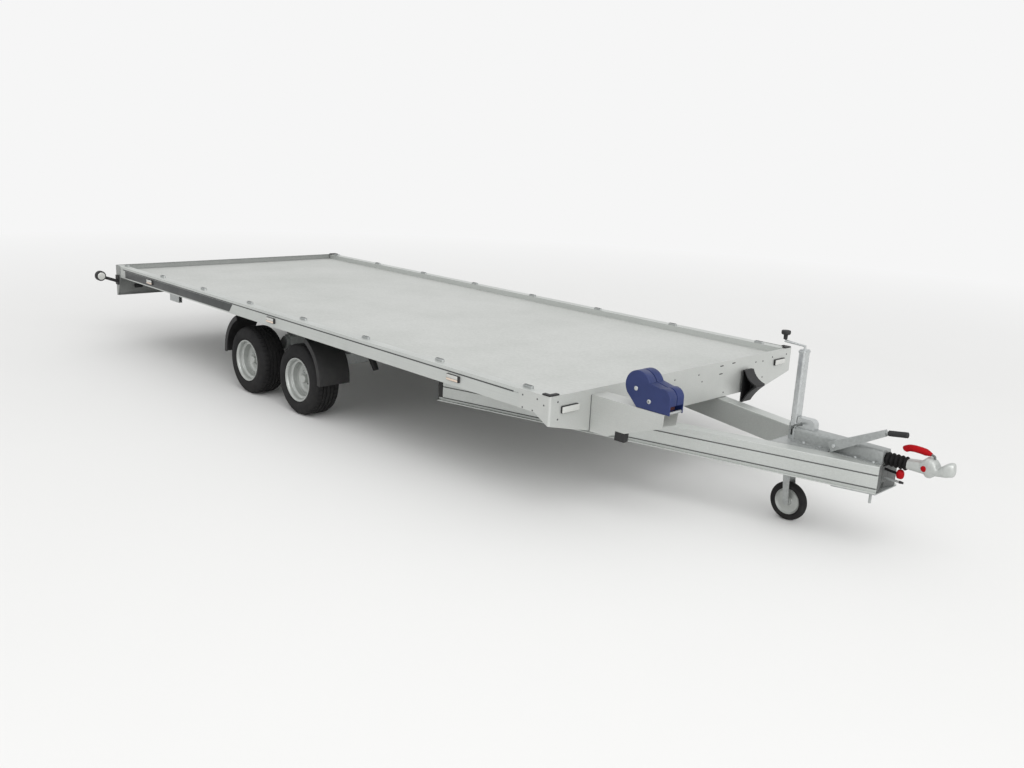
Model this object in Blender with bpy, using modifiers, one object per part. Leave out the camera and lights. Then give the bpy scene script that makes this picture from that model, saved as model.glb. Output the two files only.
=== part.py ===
"""A tandem-axle flatbed car trailer with a V drawbar, a winch post and a fold-away jockey wheel.

Metres, +Z up, +X forwards. Sizes along X are counted from the face of the front panel, sizes
along Y from the centreline and sizes along Z from the ground. The empty "trailer" then moves
everything so that the model's origin is below the middle of its whole length.
"""

import math

import bmesh
import bpy
from mathutils import Matrix, Vector

GAP = 0.0003

# Bed
BED_LENGTH = 5.05
HALF_WIDTH = 1.08
RAIL_TOP = 0.645
RAIL_HEIGHT = 0.093
RAIL_WIDTH = 0.062
RAIL_WALL = 0.004
RAIL_FOOT = 0.028
RAIL_LEDGE = 0.030
RAIL_CHAMFER = 0.002
GROOVE_BELOW_TOP = 0.022
GROOVE_SIZE = 0.003
DECK_BELOW_TOP = 0.040
DECK_THICKNESS = 0.018
SHEET = 0.003
SHEET_BEND = 0.010

# Front and rear panels
PANEL_CORNER_BOTTOM = 0.504
PANEL_MIDDLE_BOTTOM = 0.438
PANEL_SLOPE_WIDTH = 0.28
WRAP_LENGTH = 0.21
WRAP_FOOT = 0.10
PANEL_FLANGE = 0.040
PANEL_LIP = 0.012
REAR_BOTTOM = 0.397
REAR_WRAP = 0.090
REAR_FOOT = 0.030

# Lamps
FRONT_LAMP_LENGTH = 0.115
FRONT_LAMP_HEIGHT = 0.036
FRONT_LAMP_INSET = 0.080
FRONT_LAMP_Z = 0.575
LAMP_DEPTH = 0.008
SIDE_LAMP_LENGTH = 0.100
SIDE_LAMP_HEIGHT = 0.034
SIDE_LAMP_Z = 0.594
SIDE_LAMP_FIRST = 0.70
SIDE_LAMP_LAST = 0.665
SIDE_LAMPS = 3
TAIL_LAMP_LENGTH = 0.240
TAIL_LAMP_HEIGHT = 0.105
TAIL_LAMP_DEPTH = 0.045
TAIL_LAMP_CORNER = 0.015
TAIL_LAMP_Z = 0.520
TAIL_LAMP_INSET = 0.125

# Marker arms at the rear corners
MARKER_BASE_LENGTH = 0.052
MARKER_BASE_HEIGHT = 0.080
MARKER_BASE_DEPTH = 0.012
MARKER_BASE_Z = 0.490
MARKER_LENS_RADIUS = 0.041
MARKER_LENS_DEPTH = 0.050
MARKER_REACH = 0.145
MARKER_LENS_Z = 0.570
MARKER_ARM_RADIUS = 0.013

# Lashing points on the rails, and the box bracket below each rail near the rear
LASHING_FIRST = 0.20
LASHING_LAST = 0.111
LASHINGS = 8
LASHING_LENGTH = 0.062
LASHING_HEIGHT = 0.011
LASHING_WIDTH = 0.020
BRACKET_FROM_REAR = 1.01
BRACKET_LENGTH = 0.150
BRACKET_DROP = 0.049
BRACKET_WIDTH = 0.026

# Chassis under the deck: three cross members in front of the wheels and three behind
MEMBER_HEIGHT = 0.053
MEMBER_WIDTH = 0.050
MEMBER_FLANGE = 0.022
MEMBER_WALL = 0.003
MEMBERS_EACH_END = 3
MEMBER_FIRST = 0.45
MEMBER_LAST = 0.25
MEMBER_PITCH = 0.69
LONG_BEAM_HEIGHT = 0.100
LONG_BEAM_WIDTH = 0.060
LONG_BEAM_WALL = 0.0045
LONG_BEAM_INSET = 0.365
LONG_BEAM_FRONT = -0.62
LONG_BEAM_END = 0.15

# Drawbar
DRAW_BOTTOM = 0.306
DRAW_WIDTH = 0.080
DRAW_FLANGE = 0.018
DRAW_WALL = 0.005
DRAW_CORNER = 0.004
DRAW_GROOVE = 0.004
DRAW_LOW_GROOVE = 0.018
DRAW_HIGH_GROOVE = 0.084
DRAW_CAP = 0.005
DRAW_REAR_X = -1.215
DRAW_REAR_INSET = 0.327
DRAW_FRONT_X = 1.175
DRAW_FRONT_Y = 0.1087
NOSE_PLATE = 0.005
NOSE_PLATE_REAR = 0.98
BRIDGE_REAR = 0.635
BRIDGE_FRONT = 0.900
FOOT_X = 1.15
FOOT_INSET = 0.016
FOOT_HEIGHT = 0.048
FOOT_RADIUS = 0.007

# Coupling
COUPLING_Z = 0.456
HOUSING_FRONT = 1.155
HOUSING_WIDTH = 0.078
HOUSING_FOOT = 0.030
HOUSING_RISE = 0.042
HOUSING_BEND = 0.015
BELLOWS_RADIUS = 0.033
BELLOWS_FOLDS = 5
SHAFT_RADIUS = 0.0225
SHAFT_IN_HEAD = 0.020
NOSE_X = 1.470
BALL_BEHIND_NOSE = 0.057
BALL_SOCKET_RADIUS = 0.0262
BALL_ROOF = 0.020
BUTTON_BEHIND_NOSE = 0.143
BUTTON_RADIUS = 0.011
HANDLE_RADIUS = 0.0115
HANDLE_ROD = 0.006
# The head's outline from the side: distance behind the nose, height above the shaft's axis
HEAD_SIDE = (
    (0.208, -0.029), (0.128, -0.026), (0.120, -0.037), (0.100, -0.038), (0.078, -0.018),
    (0.030, -0.013), (0.003, 0.002), (0.000, 0.022), (0.006, 0.052), (0.012, 0.057),
    (0.024, 0.057), (0.036, 0.040), (0.048, 0.031), (0.062, 0.031), (0.074, 0.040),
    (0.084, 0.056), (0.131, 0.056), (0.148, 0.039), (0.208, 0.029),
)
# The head's outline from above: distance behind the nose, half width
HEAD_PLAN = (
    (0.208, 0.028), (0.150, 0.030), (0.110, 0.036), (0.035, 0.036), (0.012, 0.028), (0.000, 0.012),
)
# The red grip's bend line: distance behind the nose, height above the shaft's axis
GRIP_LINE = ((0.233, 0.068), (0.218, 0.080), (0.190, 0.083), (0.127, 0.081))
HANDLE_SEAT = 0.090

# Handbrake lever
LEVER_Y = -0.064
LEVER_PIVOT = (0.930, 0.470)
LEVER_BEND = (1.165, 0.592)
LEVER_END = (1.269, 0.607)
LEVER_WIDTH = 0.034
LEVER_REAR_HEIGHT = 0.048
LEVER_FRONT_HEIGHT = 0.030
LEVER_WALL = 0.003
LEVER_BOSS = 0.010
LEVER_TONGUE = 0.009
GRIP_RADIUS = 0.014

# Jockey wheel
JOCKEY_X = 0.675
JOCKEY_TUBE = (0.034, 0.054)
JOCKEY_TUBE_WALL = 0.0025
JOCKEY_CORNER = 0.008
JOCKEY_TUBE_BOTTOM = 0.407
JOCKEY_TUBE_TOP = 0.881
JOCKEY_SLIP = 0.0008
JOCKEY_PIVOT_Z = 0.262
JOCKEY_LEG_TOP = 0.740
JOCKEY_RADIUS = 0.100
JOCKEY_WIDTH = 0.045
JOCKEY_HUB = 0.068
JOCKEY_LEAD = 0.014
JOCKEY_CLEARANCE = 0.006
JOCKEY_PIN = 0.006
CLAMP_WALL = 0.004
CLAMP_HEIGHT = 0.080
CLAMP_REACH = 0.095
CLAMP_ROUND = 0.026
CLAMP_TOP = 0.547
EAR_WALL = 0.004
CRANK_Z = 0.900
CRANK_REACH = 0.112
CRANK_RADIUS = 0.007
KNOB_TOP = 0.960
KNOB_RADIUS = 0.023

# Winch post and cover; a lobe is its centre's x and z and its radius
POST_INSET = 0.295
POST_WIDTH = 0.110
POST_TOP = 0.620
POST_BOTTOM = 0.431
POST_LENGTH = 0.445
POST_TIP_BOTTOM = 0.553
POST_FOOT = 0.113
BIG_LOBE = (0.277, 0.723, 0.074)
SMALL_LOBE = (0.424, 0.693, 0.046)
COVER_SEAM = 0.005
COVER_SEAM_DEPTH = 0.004
MOUTH_HEIGHT = 0.028
MOUTH_DEPTH = 0.045
MOUTH_CHEEK = 0.007

# Wheel chock on the front panel
CHOCK_INSET = 0.505
CHOCK_WIDTH = 0.090
CHOCK_BACK = 0.012
CHOCK_BOTTOM = 0.386
CHOCK_TOP = 0.576
CHOCK_TIP = (0.112, 0.497)
CHOCK_KNOB = 0.016
CHOCK_WALL = 0.006
CHOCK_UPPER_SAG = 0.014
CHOCK_LOWER_SAG = 0.007
HOLDER_HEIGHT = 0.090

# Axles and road wheels
FRONT_AXLE_X = -2.311
AXLE_PITCH = 0.656
TYRE_RADIUS = 0.234
TYRE_WIDTH = 0.195
TYRE_INSET = 0.046
RIM_RADIUS = 0.144
RIM_INSET = 0.006
RIM_WALL = 0.004
BARREL_RADIUS = 0.112
DISC_PLACE = 0.010
HUB_RADIUS = 0.029
HUB_TOP = 0.050
WHEEL_STEPS = 24
AXLE_TUBE = 0.080
AXLE_CORNER = 0.010
AXLE_LEAD = 0.130
AXLE_Z = 0.372
AXLE_PAD = 0.140
ARM_THICKNESS = 0.030
ARM_INSIDE_WHEEL = 0.1465
ARM_ROUND = 0.038
DRUM_RADIUS = 0.100
DRUM_WALL = 0.004
BACK_PLATE = 0.008
STUB_RADIUS = 0.018
STUB_PAST_MIDDLE = 0.030

# Mudguards
GUARD_RADIUS = 0.285
GUARD_WALL = 0.004
GUARD_TOP_ANGLE = 66.0
GUARD_LOW_ANGLE = -4.0
GUARD_LIP = 0.014
GUARD_LIFT = 0.036
GUARD_WIDTH = 0.225
GUARD_PAST_TYRE = 0.006
GUARD_TAB = 0.054

DECK_TOP = RAIL_TOP - DECK_BELOW_TOP
DECK_BOTTOM = DECK_TOP - DECK_THICKNESS
RAIL_BOTTOM = RAIL_TOP - RAIL_HEIGHT
RAIL_OUTER = HALF_WIDTH - SHEET - GAP
RAIL_INNER = RAIL_OUTER - RAIL_WIDTH
LONG_BEAM_Y = HALF_WIDTH - LONG_BEAM_INSET
LONG_BEAM_TOP = DECK_BOTTOM - MEMBER_HEIGHT - 2 * GAP
LONG_BEAM_BOTTOM = LONG_BEAM_TOP - LONG_BEAM_HEIGHT
DRAW_TOP = LONG_BEAM_BOTTOM - GAP
DRAW_HEIGHT = DRAW_TOP - DRAW_BOTTOM
DRAW_REAR_Y = HALF_WIDTH - DRAW_REAR_INSET
REAR_X = -BED_LENGTH
BALL_X = NOSE_X - BALL_BEHIND_NOSE
HEAD_REAR = NOSE_X - HEAD_SIDE[0][0]
HOUSING_REAR = JOCKEY_X + JOCKEY_TUBE[0] / 2 + CLAMP_WALL + GAP
HOUSING_TOP = COUPLING_Z + HOUSING_RISE
BELLOWS_FRONT = HEAD_REAR - GAP
POST_Y = POST_WIDTH / 2 + POST_INSET - HALF_WIDTH
CHOCK_Y = HALF_WIDTH - CHOCK_INSET
AXLE_X = (FRONT_AXLE_X, FRONT_AXLE_X - AXLE_PITCH)
TYRE_OUTER_Y = HALF_WIDTH - TYRE_INSET
WHEEL_Y = TYRE_OUTER_Y - TYRE_WIDTH / 2
ARM_Y = WHEEL_Y - ARM_INSIDE_WHEEL
ORIGIN_X = (NOSE_X + REAR_X - TAIL_LAMP_DEPTH) / 2

# A finish: base colour, roughness, metallic
FINISHES = {
    "deck": ((0.60, 0.62, 0.59), 0.45, 0.2),
    "aluminium": ((0.50, 0.51, 0.50), 0.40, 0.9),
    "galvanised": ((0.45, 0.46, 0.46), 0.50, 0.8),
    "black_plastic": ((0.012, 0.012, 0.012), 0.55, 0.0),
    "tyre": ((0.020, 0.020, 0.020), 0.80, 0.0),
    "rim": ((0.58, 0.60, 0.58), 0.35, 0.6),
    "lamp": ((0.80, 0.80, 0.78), 0.20, 0.0),
    "red_plastic": ((0.35, 0.005, 0.009), 0.40, 0.0),
    "blue_plastic": ((0.030, 0.050, 0.160), 0.45, 0.0),
    "red_lamp": ((0.40, 0.01, 0.01), 0.20, 0.0),
}


def clear_scene():
    for old in list(bpy.data.objects):
        bpy.data.objects.remove(old)


def new_collection(name):
    collection = bpy.data.collections.new(name)
    bpy.context.scene.collection.children.link(collection)
    return collection


clear_scene()
PARTS = new_collection("flatbed_trailer")
CUTTERS = new_collection("cutters")
TRAILER = bpy.data.objects.new("trailer", None)
PARTS.objects.link(TRAILER)
TRAILER.location.x = -ORIGIN_X


def material(name, finish):
    colour, roughness, metallic = FINISHES[finish]
    made = bpy.data.materials.new(name)
    made.use_nodes = True
    shader = made.node_tree.nodes["Principled BSDF"]
    shader.inputs["Base Color"].default_value = (*colour, 1)
    shader.inputs["Roughness"].default_value = roughness
    shader.inputs["Metallic"].default_value = metallic
    return made


def add(name, mesh, finish, place=None, parent=None):
    """A mesh object of the trailer, placed by a matrix."""
    made = bpy.data.objects.new(name, mesh)
    PARTS.objects.link(made)
    made.parent = parent or TRAILER
    made.matrix_basis = place or Matrix()
    mesh.materials.clear()
    mesh.materials.append(material(name, finish))
    return made


def meshed(curve_object):
    """The mesh of a curve, its caps welded on, and the curve removed."""
    bpy.context.view_layer.update()
    graph = bpy.context.evaluated_depsgraph_get()
    mesh = bpy.data.meshes.new_from_object(curve_object.evaluated_get(graph))
    mesh.name = curve_object.name
    bpy.data.objects.remove(curve_object)
    shape = bmesh.new()
    shape.from_mesh(mesh)
    bmesh.ops.remove_doubles(shape, verts=shape.verts, dist=1e-6)
    bmesh.ops.recalc_face_normals(shape, faces=shape.faces)
    shape.to_mesh(mesh)
    shape.free()
    return mesh


def frame_along(start, end, up=(0, 0, 1)):
    """Turns local x, y, z to the left, up and forward directions of a run, at its middle."""
    start, end = Vector(start), Vector(end)
    forward = (end - start).normalized()
    left = Vector(up).cross(forward).normalized()
    turn = Matrix((left, forward.cross(left), forward)).transposed().to_4x4()
    return Matrix.Translation((start + end) / 2) @ turn


def section(name, loops, start, end, finish, up=(0, 0, 1), parent=None):
    """Flat outlines (left, up), the second and later ones holes, run from start to end."""
    curve = bpy.data.curves.new(name, "CURVE")
    curve.dimensions = "2D"
    curve.fill_mode = "BOTH"
    curve.extrude = (Vector(end) - Vector(start)).length / 2
    for loop in loops:
        spline = curve.splines.new("POLY")
        spline.points.add(len(loop) - 1)
        for point, (u, v) in zip(spline.points, loop):
            point.co = (u, v, 0, 1)
        spline.use_cyclic_u = True
    guide = bpy.data.objects.new(name, curve)
    PARTS.objects.link(guide)
    return add(name, meshed(guide), finish, frame_along(start, end, up), parent)


def side_plate(name, loops, y, thickness, finish, parent=None):
    """Outlines (x, z) as a plate across Y, centred on y."""
    start, end = (0, y + thickness / 2, 0), (0, y - thickness / 2, 0)
    return section(name, loops, start, end, finish, parent=parent)


def front_plate(name, loops, x, thickness, finish, parent=None):
    """Outlines (y, z) as a plate across X, centred on x."""
    start, end = (x - thickness / 2, 0, 0), (x + thickness / 2, 0, 0)
    return section(name, loops, start, end, finish, parent=parent)


def top_plate(name, loops, z, thickness, finish, parent=None):
    """Outlines (x, y) as a plate across Z, centred on z."""
    start, end = (0, 0, z - thickness / 2), (0, 0, z + thickness / 2)
    return section(name, loops, start, end, finish, up=(0, 1, 0), parent=parent)


def box(name, low, high, finish):
    middle = (Vector(low) + Vector(high)) / 2
    size = Vector(high) - Vector(low)
    shape = bmesh.new()
    bmesh.ops.create_cube(shape, size=1, matrix=Matrix.Diagonal((*size, 1)))
    mesh = bpy.data.meshes.new(name)
    shape.to_mesh(mesh)
    shape.free()
    return add(name, mesh, finish, Matrix.Translation(middle))


def rod(name, points, radius, finish, resolution=2, parent=None):
    """A round bar through points."""
    curve = bpy.data.curves.new(name, "CURVE")
    curve.dimensions = "3D"
    curve.bevel_depth = radius
    curve.bevel_resolution = resolution
    curve.use_fill_caps = True
    spline = curve.splines.new("POLY")
    spline.points.add(len(points) - 1)
    for point, place in zip(spline.points, points):
        point.co = (*place, 1)
    guide = bpy.data.objects.new(name, curve)
    PARTS.objects.link(guide)
    return add(name, meshed(guide), finish, parent=parent)


def turned(name, profile, steps, finish, place, closed=False, parent=None):
    """A profile of (radius, height), outer side from top to bottom, turned about local Z."""
    mesh = bpy.data.meshes.new(name)
    count = len(profile)
    edges = [(i, i + 1) for i in range(count - 1)]
    if closed:
        edges.append((count - 1, 0))
    mesh.from_pydata([(r, 0, z) for r, z in profile], edges, [])
    made = add(name, mesh, finish, place, parent)
    screw = made.modifiers.new("turn", "SCREW")
    screw.steps = screw.render_steps = steps
    screw.use_merge_vertices = True
    screw.merge_threshold = 1e-5
    screw.use_smooth_shade = True
    return made


def swung(name, loop, centre, low, high, steps, finish):
    """A closed section (radius, y) swung from low to high degrees about an axis along Y at (x, z)."""
    shape = bmesh.new()
    angle = math.radians(low)
    out, up = math.cos(angle), math.sin(angle)
    face = shape.faces.new([shape.verts.new((centre[0] + r * out, y, centre[1] + r * up)) for r, y in loop])
    bmesh.ops.spin(shape, geom=[face], cent=(centre[0], 0, centre[1]), axis=(0, -1, 0),
                   angle=math.radians(high - low), steps=steps)
    bmesh.ops.recalc_face_normals(shape, faces=shape.faces)
    mesh = bpy.data.meshes.new(name)
    shape.to_mesh(mesh)
    shape.free()
    return add(name, mesh, finish)


def combine(target, others, operation):
    for other in others:
        PARTS.objects.unlink(other)
        CUTTERS.objects.link(other)
        other.hide_render = True
        other.display_type = "WIRE"
        change = target.modifiers.new(other.name, "BOOLEAN")
        change.operation = operation
        change.object = other
    return target


def join(target, *others):
    return combine(target, others, "UNION")


def cut(target, *others):
    return combine(target, others, "DIFFERENCE")


def rectangle(left, bottom, right, top):
    return [(left, bottom), (right, bottom), (right, top), (left, top)]


def mirrored(loop, side):
    """The loop with its first coordinate turned to the given side, its direction kept."""
    turned_loop = [(u * side, v) for u, v in loop]
    return turned_loop if side > 0 else turned_loop[::-1]


def arc(centre, radius, start, end, count):
    """Points on a circle from one angle to another, in degrees."""
    steps = [math.radians(start + (end - start) * i / count) for i in range(count + 1)]
    return [(centre[0] + radius * math.cos(a), centre[1] + radius * math.sin(a)) for a in steps]


def rounded(left, bottom, right, top, radius, count=3):
    """A rectangle with round corners."""
    points = []
    corners = ((right, bottom, -90), (right, top, 0), (left, top, 90), (left, bottom, 180))
    for x, y, angle in corners:
        centre = (x - radius if x == right else x + radius, y - radius if y == top else y + radius)
        points += arc(centre, radius, angle, angle + 90, count)
    return points


def make_deck():
    front, rear = -SHEET_BEND, REAR_X + SHEET_BEND
    half = RAIL_INNER - GAP
    box("deck", (rear, -half, DECK_BOTTOM), (front, half, DECK_TOP), "deck")


def rail_loops():
    """The rail's section as (distance inwards from its outer face, height): web, ledge and box top."""
    groove = RAIL_TOP - GROOVE_BELOW_TOP
    ledge_top = DECK_BOTTOM - GAP
    ledge_end = RAIL_WIDTH + RAIL_LEDGE
    outline = [
        (0, RAIL_BOTTOM),
        (RAIL_FOOT, RAIL_BOTTOM),
        (RAIL_FOOT, RAIL_BOTTOM + RAIL_WALL),
        (RAIL_WALL, RAIL_BOTTOM + RAIL_WALL),
        (RAIL_WALL, ledge_top - RAIL_WALL),
        (ledge_end, ledge_top - RAIL_WALL),
        (ledge_end, ledge_top),
        (RAIL_WIDTH, ledge_top),
        (RAIL_WIDTH, RAIL_TOP - RAIL_CHAMFER),
        (RAIL_WIDTH - RAIL_CHAMFER, RAIL_TOP),
        (RAIL_CHAMFER, RAIL_TOP),
        (0, RAIL_TOP - RAIL_CHAMFER),
        (0, groove + GROOVE_SIZE / 2),
        (GROOVE_SIZE, groove + GROOVE_SIZE / 2),
        (GROOVE_SIZE, groove - GROOVE_SIZE / 2),
        (0, groove - GROOVE_SIZE / 2),
    ]
    wall = RAIL_WALL + GROOVE_SIZE
    hollow = rectangle(wall, ledge_top, RAIL_WIDTH - RAIL_WALL, RAIL_TOP - RAIL_WALL)
    return outline, hollow


def make_rail(name, side):
    front, rear = -SHEET_BEND, REAR_X + SHEET_BEND
    loops = [[(side * (RAIL_OUTER - u), v) for u, v in loop] for loop in rail_loops()]
    rail = section(name, loops, (rear, 0, 0), (front, 0, 0), "aluminium")
    lashing_pitch = (BED_LENGTH - LASHING_FIRST - LASHING_LAST) / (LASHINGS - 1)
    half_length, half_width = LASHING_LENGTH / 2, LASHING_WIDTH / 2
    for index in range(LASHINGS):
        x = -LASHING_FIRST - lashing_pitch * index
        y = side * (RAIL_INNER + half_width)
        outline = rounded(x - half_length, y - half_width, x + half_length, y + half_width,
                          half_width * 0.9, 2)
        low, top = RAIL_TOP - RAIL_WALL / 2, RAIL_TOP + LASHING_HEIGHT
        join(rail, top_plate(f"{name}_lashing_{index}", [outline], (low + top) / 2, top - low,
                             "galvanised"))
    lamp_pitch = (BED_LENGTH - SIDE_LAMP_FIRST - SIDE_LAMP_LAST) / (SIDE_LAMPS - 1)
    half_length, half_height = SIDE_LAMP_LENGTH / 2, SIDE_LAMP_HEIGHT / 2
    depth = LAMP_DEPTH + RAIL_WALL / 2
    for index in range(SIDE_LAMPS):
        x = -SIDE_LAMP_FIRST - lamp_pitch * index
        outline = rounded(x - half_length, SIDE_LAMP_Z - half_height, x + half_length,
                          SIDE_LAMP_Z + half_height, half_height / 3, 2)
        y = side * (RAIL_OUTER + LAMP_DEPTH - depth / 2)
        join(rail, side_plate(f"{name}_lamp_{index}", [outline], y, depth, "lamp"))
    return rail


def make_rail_bracket(name, side):
    """A short box, open at both ends, hung below the rail's foot."""
    rear = REAR_X + BRACKET_FROM_REAR
    outer, inner = RAIL_OUTER, RAIL_OUTER - BRACKET_WIDTH
    low, high = RAIL_BOTTOM - BRACKET_DROP, RAIL_BOTTOM - GAP
    outside = rectangle(inner, low, outer, high)
    inside = rectangle(inner + SHEET, low + SHEET, outer - SHEET, high - SHEET)
    loops = [mirrored(loop, side) for loop in (outside, inside)]
    return section(name, loops, (rear, 0, 0), (rear + BRACKET_LENGTH, 0, 0), "aluminium")


def fold_line(depth, inset):
    """The plan of a sheet folded back round both corners, its face at x = 0, inset from its outer side."""
    half, radius = HALF_WIDTH - inset, SHEET_BEND - inset
    corner = HALF_WIDTH - SHEET_BEND
    right = arc((-SHEET_BEND, -corner), radius, -90, 0, 3)
    left = arc((-SHEET_BEND, corner), radius, 0, 90, 3)
    return [(-depth, -half), *right, *left, (-depth, half)]


def folded_sheet(name, depth, low, place):
    """The folded sheet with its top lip, from low up over the rails; place turns its plan points."""
    high = RAIL_TOP + SHEET
    plan = fold_line(depth, 0) + fold_line(depth, SHEET)[::-1]
    sheet = top_plate(name, [[place(p) for p in plan]], (low + high) / 2, high - low, "aluminium")
    lip = [place(p) for p in fold_line(PANEL_LIP, SHEET / 2)]
    return sheet, top_plate(f"{name}_lip", [lip], (RAIL_TOP + GAP + high) / 2, SHEET - GAP, "aluminium")


def make_front_panel():
    """A sheet folded back round both front corners, its foot sloping up to them, with lamps and flanges."""
    low = PANEL_MIDDLE_BOTTOM
    panel, lip = folded_sheet("front_panel", WRAP_LENGTH, low, lambda point: point)
    slope, wide, deep = HALF_WIDTH - PANEL_SLOPE_WIDTH, HALF_WIDTH + SHEET, low - SHEET
    for side in (-1, 1):
        below = [(slope, low), (wide, PANEL_CORNER_BOTTOM), (wide, deep), (slope, deep)]
        back = -SHEET_BEND - SHEET / 3
        cut(panel, front_plate(f"below_face_{side}", [mirrored(below, side)], (back + SHEET) / 2,
                               SHEET - back, "aluminium"))
    behind = -WRAP_LENGTH - SHEET
    below = [(behind, deep), (-SHEET_BEND, deep), (-SHEET_BEND, PANEL_CORNER_BOTTOM),
             (-WRAP_FOOT, RAIL_BOTTOM), (behind, RAIL_BOTTOM)]
    cut(panel, side_plate("below_wraps", [below], 0, wide * 2, "aluminium"))
    foot = rectangle(-PANEL_FLANGE, -slope, -SHEET / 2, slope)
    join(panel, lip, top_plate("panel_foot", [foot], low + (SHEET + GAP) / 2, SHEET - GAP, "aluminium"))
    for side in (-1, 1):
        inner = HALF_WIDTH - FRONT_LAMP_INSET - FRONT_LAMP_LENGTH
        lamp = rounded(inner, FRONT_LAMP_Z - FRONT_LAMP_HEIGHT / 2, inner + FRONT_LAMP_LENGTH,
                       FRONT_LAMP_Z + FRONT_LAMP_HEIGHT / 2, FRONT_LAMP_HEIGHT / 6)
        depth = LAMP_DEPTH + SHEET / 2
        join(panel, front_plate(f"panel_lamp_{side}", [mirrored(lamp, side)],
                                LAMP_DEPTH - depth / 2, depth, "lamp"))
    return panel


def make_rear_panel():
    """A sheet folded forwards round both rear corners, its wraps tapering down to a foot flange."""
    panel, lip = folded_sheet("rear_panel", REAR_WRAP, REAR_BOTTOM, lambda p: (REAR_X - p[0], p[1]))
    wide, deep = HALF_WIDTH + SHEET, REAR_BOTTOM - SHEET
    ahead = REAR_X + REAR_WRAP + SHEET
    below = [(REAR_X + REAR_FOOT, deep), (ahead, deep), (ahead, RAIL_BOTTOM),
             (REAR_X + REAR_WRAP, RAIL_BOTTOM), (REAR_X + REAR_FOOT, REAR_BOTTOM)]
    cut(panel, side_plate("below_ends", [below], 0, wide * 2, "aluminium"))
    foot = [(REAR_X - x, y) for x, y in fold_line(REAR_FOOT - SHEET / 2, SHEET / 2)]
    z = REAR_BOTTOM + (SHEET + GAP) / 2
    join(panel, lip, top_plate("rear_foot", [foot], z, SHEET - GAP, "aluminium"))
    return panel


def make_tail_lamp(name, side):
    inner = HALF_WIDTH - TAIL_LAMP_INSET - TAIL_LAMP_LENGTH
    outline = rounded(inner, TAIL_LAMP_Z - TAIL_LAMP_HEIGHT / 2, inner + TAIL_LAMP_LENGTH,
                      TAIL_LAMP_Z + TAIL_LAMP_HEIGHT / 2, TAIL_LAMP_CORNER)
    x = REAR_X - (GAP + TAIL_LAMP_DEPTH) / 2
    front_plate(name, [mirrored(outline, side)], x, TAIL_LAMP_DEPTH - GAP, "red_lamp")


def make_marker_arm(name, side):
    """A rubber arm from the rail's end, out and up to a round lamp that looks both ways."""
    x = REAR_X + REAR_WRAP / 2
    face = side * (HALF_WIDTH + GAP)
    half = MARKER_BASE_LENGTH / 2
    base = rounded(x - half, MARKER_BASE_Z, x + half, MARKER_BASE_Z + MARKER_BASE_HEIGHT, 0.008)
    arm = side_plate(name, [base], face + side * MARKER_BASE_DEPTH / 2, MARKER_BASE_DEPTH, "black_plastic")
    lens = (x, side * (HALF_WIDTH + MARKER_REACH), MARKER_LENS_Z)
    start = (x, face + side * MARKER_BASE_DEPTH / 2, MARKER_BASE_Z + MARKER_BASE_HEIGHT * 0.35)
    reach = (x, side * (HALF_WIDTH + MARKER_REACH - MARKER_LENS_RADIUS * 0.6), MARKER_LENS_Z - 0.012)
    join(arm, rod(f"{name}_arm", [start, reach], MARKER_ARM_RADIUS, "black_plastic", 3))
    half = MARKER_LENS_DEPTH / 2
    profile = [(0, half), (MARKER_LENS_RADIUS * 0.8, half), (MARKER_LENS_RADIUS, half * 0.6),
               (MARKER_LENS_RADIUS, -half * 0.6), (MARKER_LENS_RADIUS * 0.8, -half), (0, -half)]
    place = Matrix.Translation(lens) @ Matrix.Rotation(math.radians(90), 4, "Y")
    join(arm, turned(f"{name}_lamp", profile, 20, "lamp", place))
    return arm


def make_member(name, x):
    """A hat-section cross member between the rails' ledges, carrying the deck."""
    half, wall, flange = MEMBER_WIDTH / 2, MEMBER_WALL, MEMBER_FLANGE
    top = DECK_BOTTOM - GAP
    low = top - MEMBER_HEIGHT
    loop = [(-half - flange, low), (-half + wall, low), (-half + wall, top - wall),
            (half - wall, top - wall), (half - wall, low), (half + flange, low),
            (half + flange, low + wall), (half, low + wall), (half, top), (-half, top),
            (-half, low + wall), (-half - flange, low + wall)]
    end = RAIL_INNER - RAIL_LEDGE - 2 * GAP
    # The section runs across Y, so its first coordinate is the distance forward of x.
    return section(name, [loop], (x, end, 0), (x, -end, 0), "galvanised")


def make_long_beam(name, side):
    """A channel, open inwards, that the cross members stand on and the axles hang from."""
    wall, half = LONG_BEAM_WALL, LONG_BEAM_WIDTH / 2
    low, high = LONG_BEAM_BOTTOM, LONG_BEAM_TOP
    loop = [(half, low), (half, high), (-half, high), (-half, high - wall),
            (half - wall, high - wall), (half - wall, low + wall), (-half, low + wall), (-half, low)]
    shifted = [(side * (LONG_BEAM_Y + u), v) for u, v in loop]
    return section(name, [shifted], (REAR_X + LONG_BEAM_END, 0, 0), (LONG_BEAM_FRONT, 0, 0), "galvanised")


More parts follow.
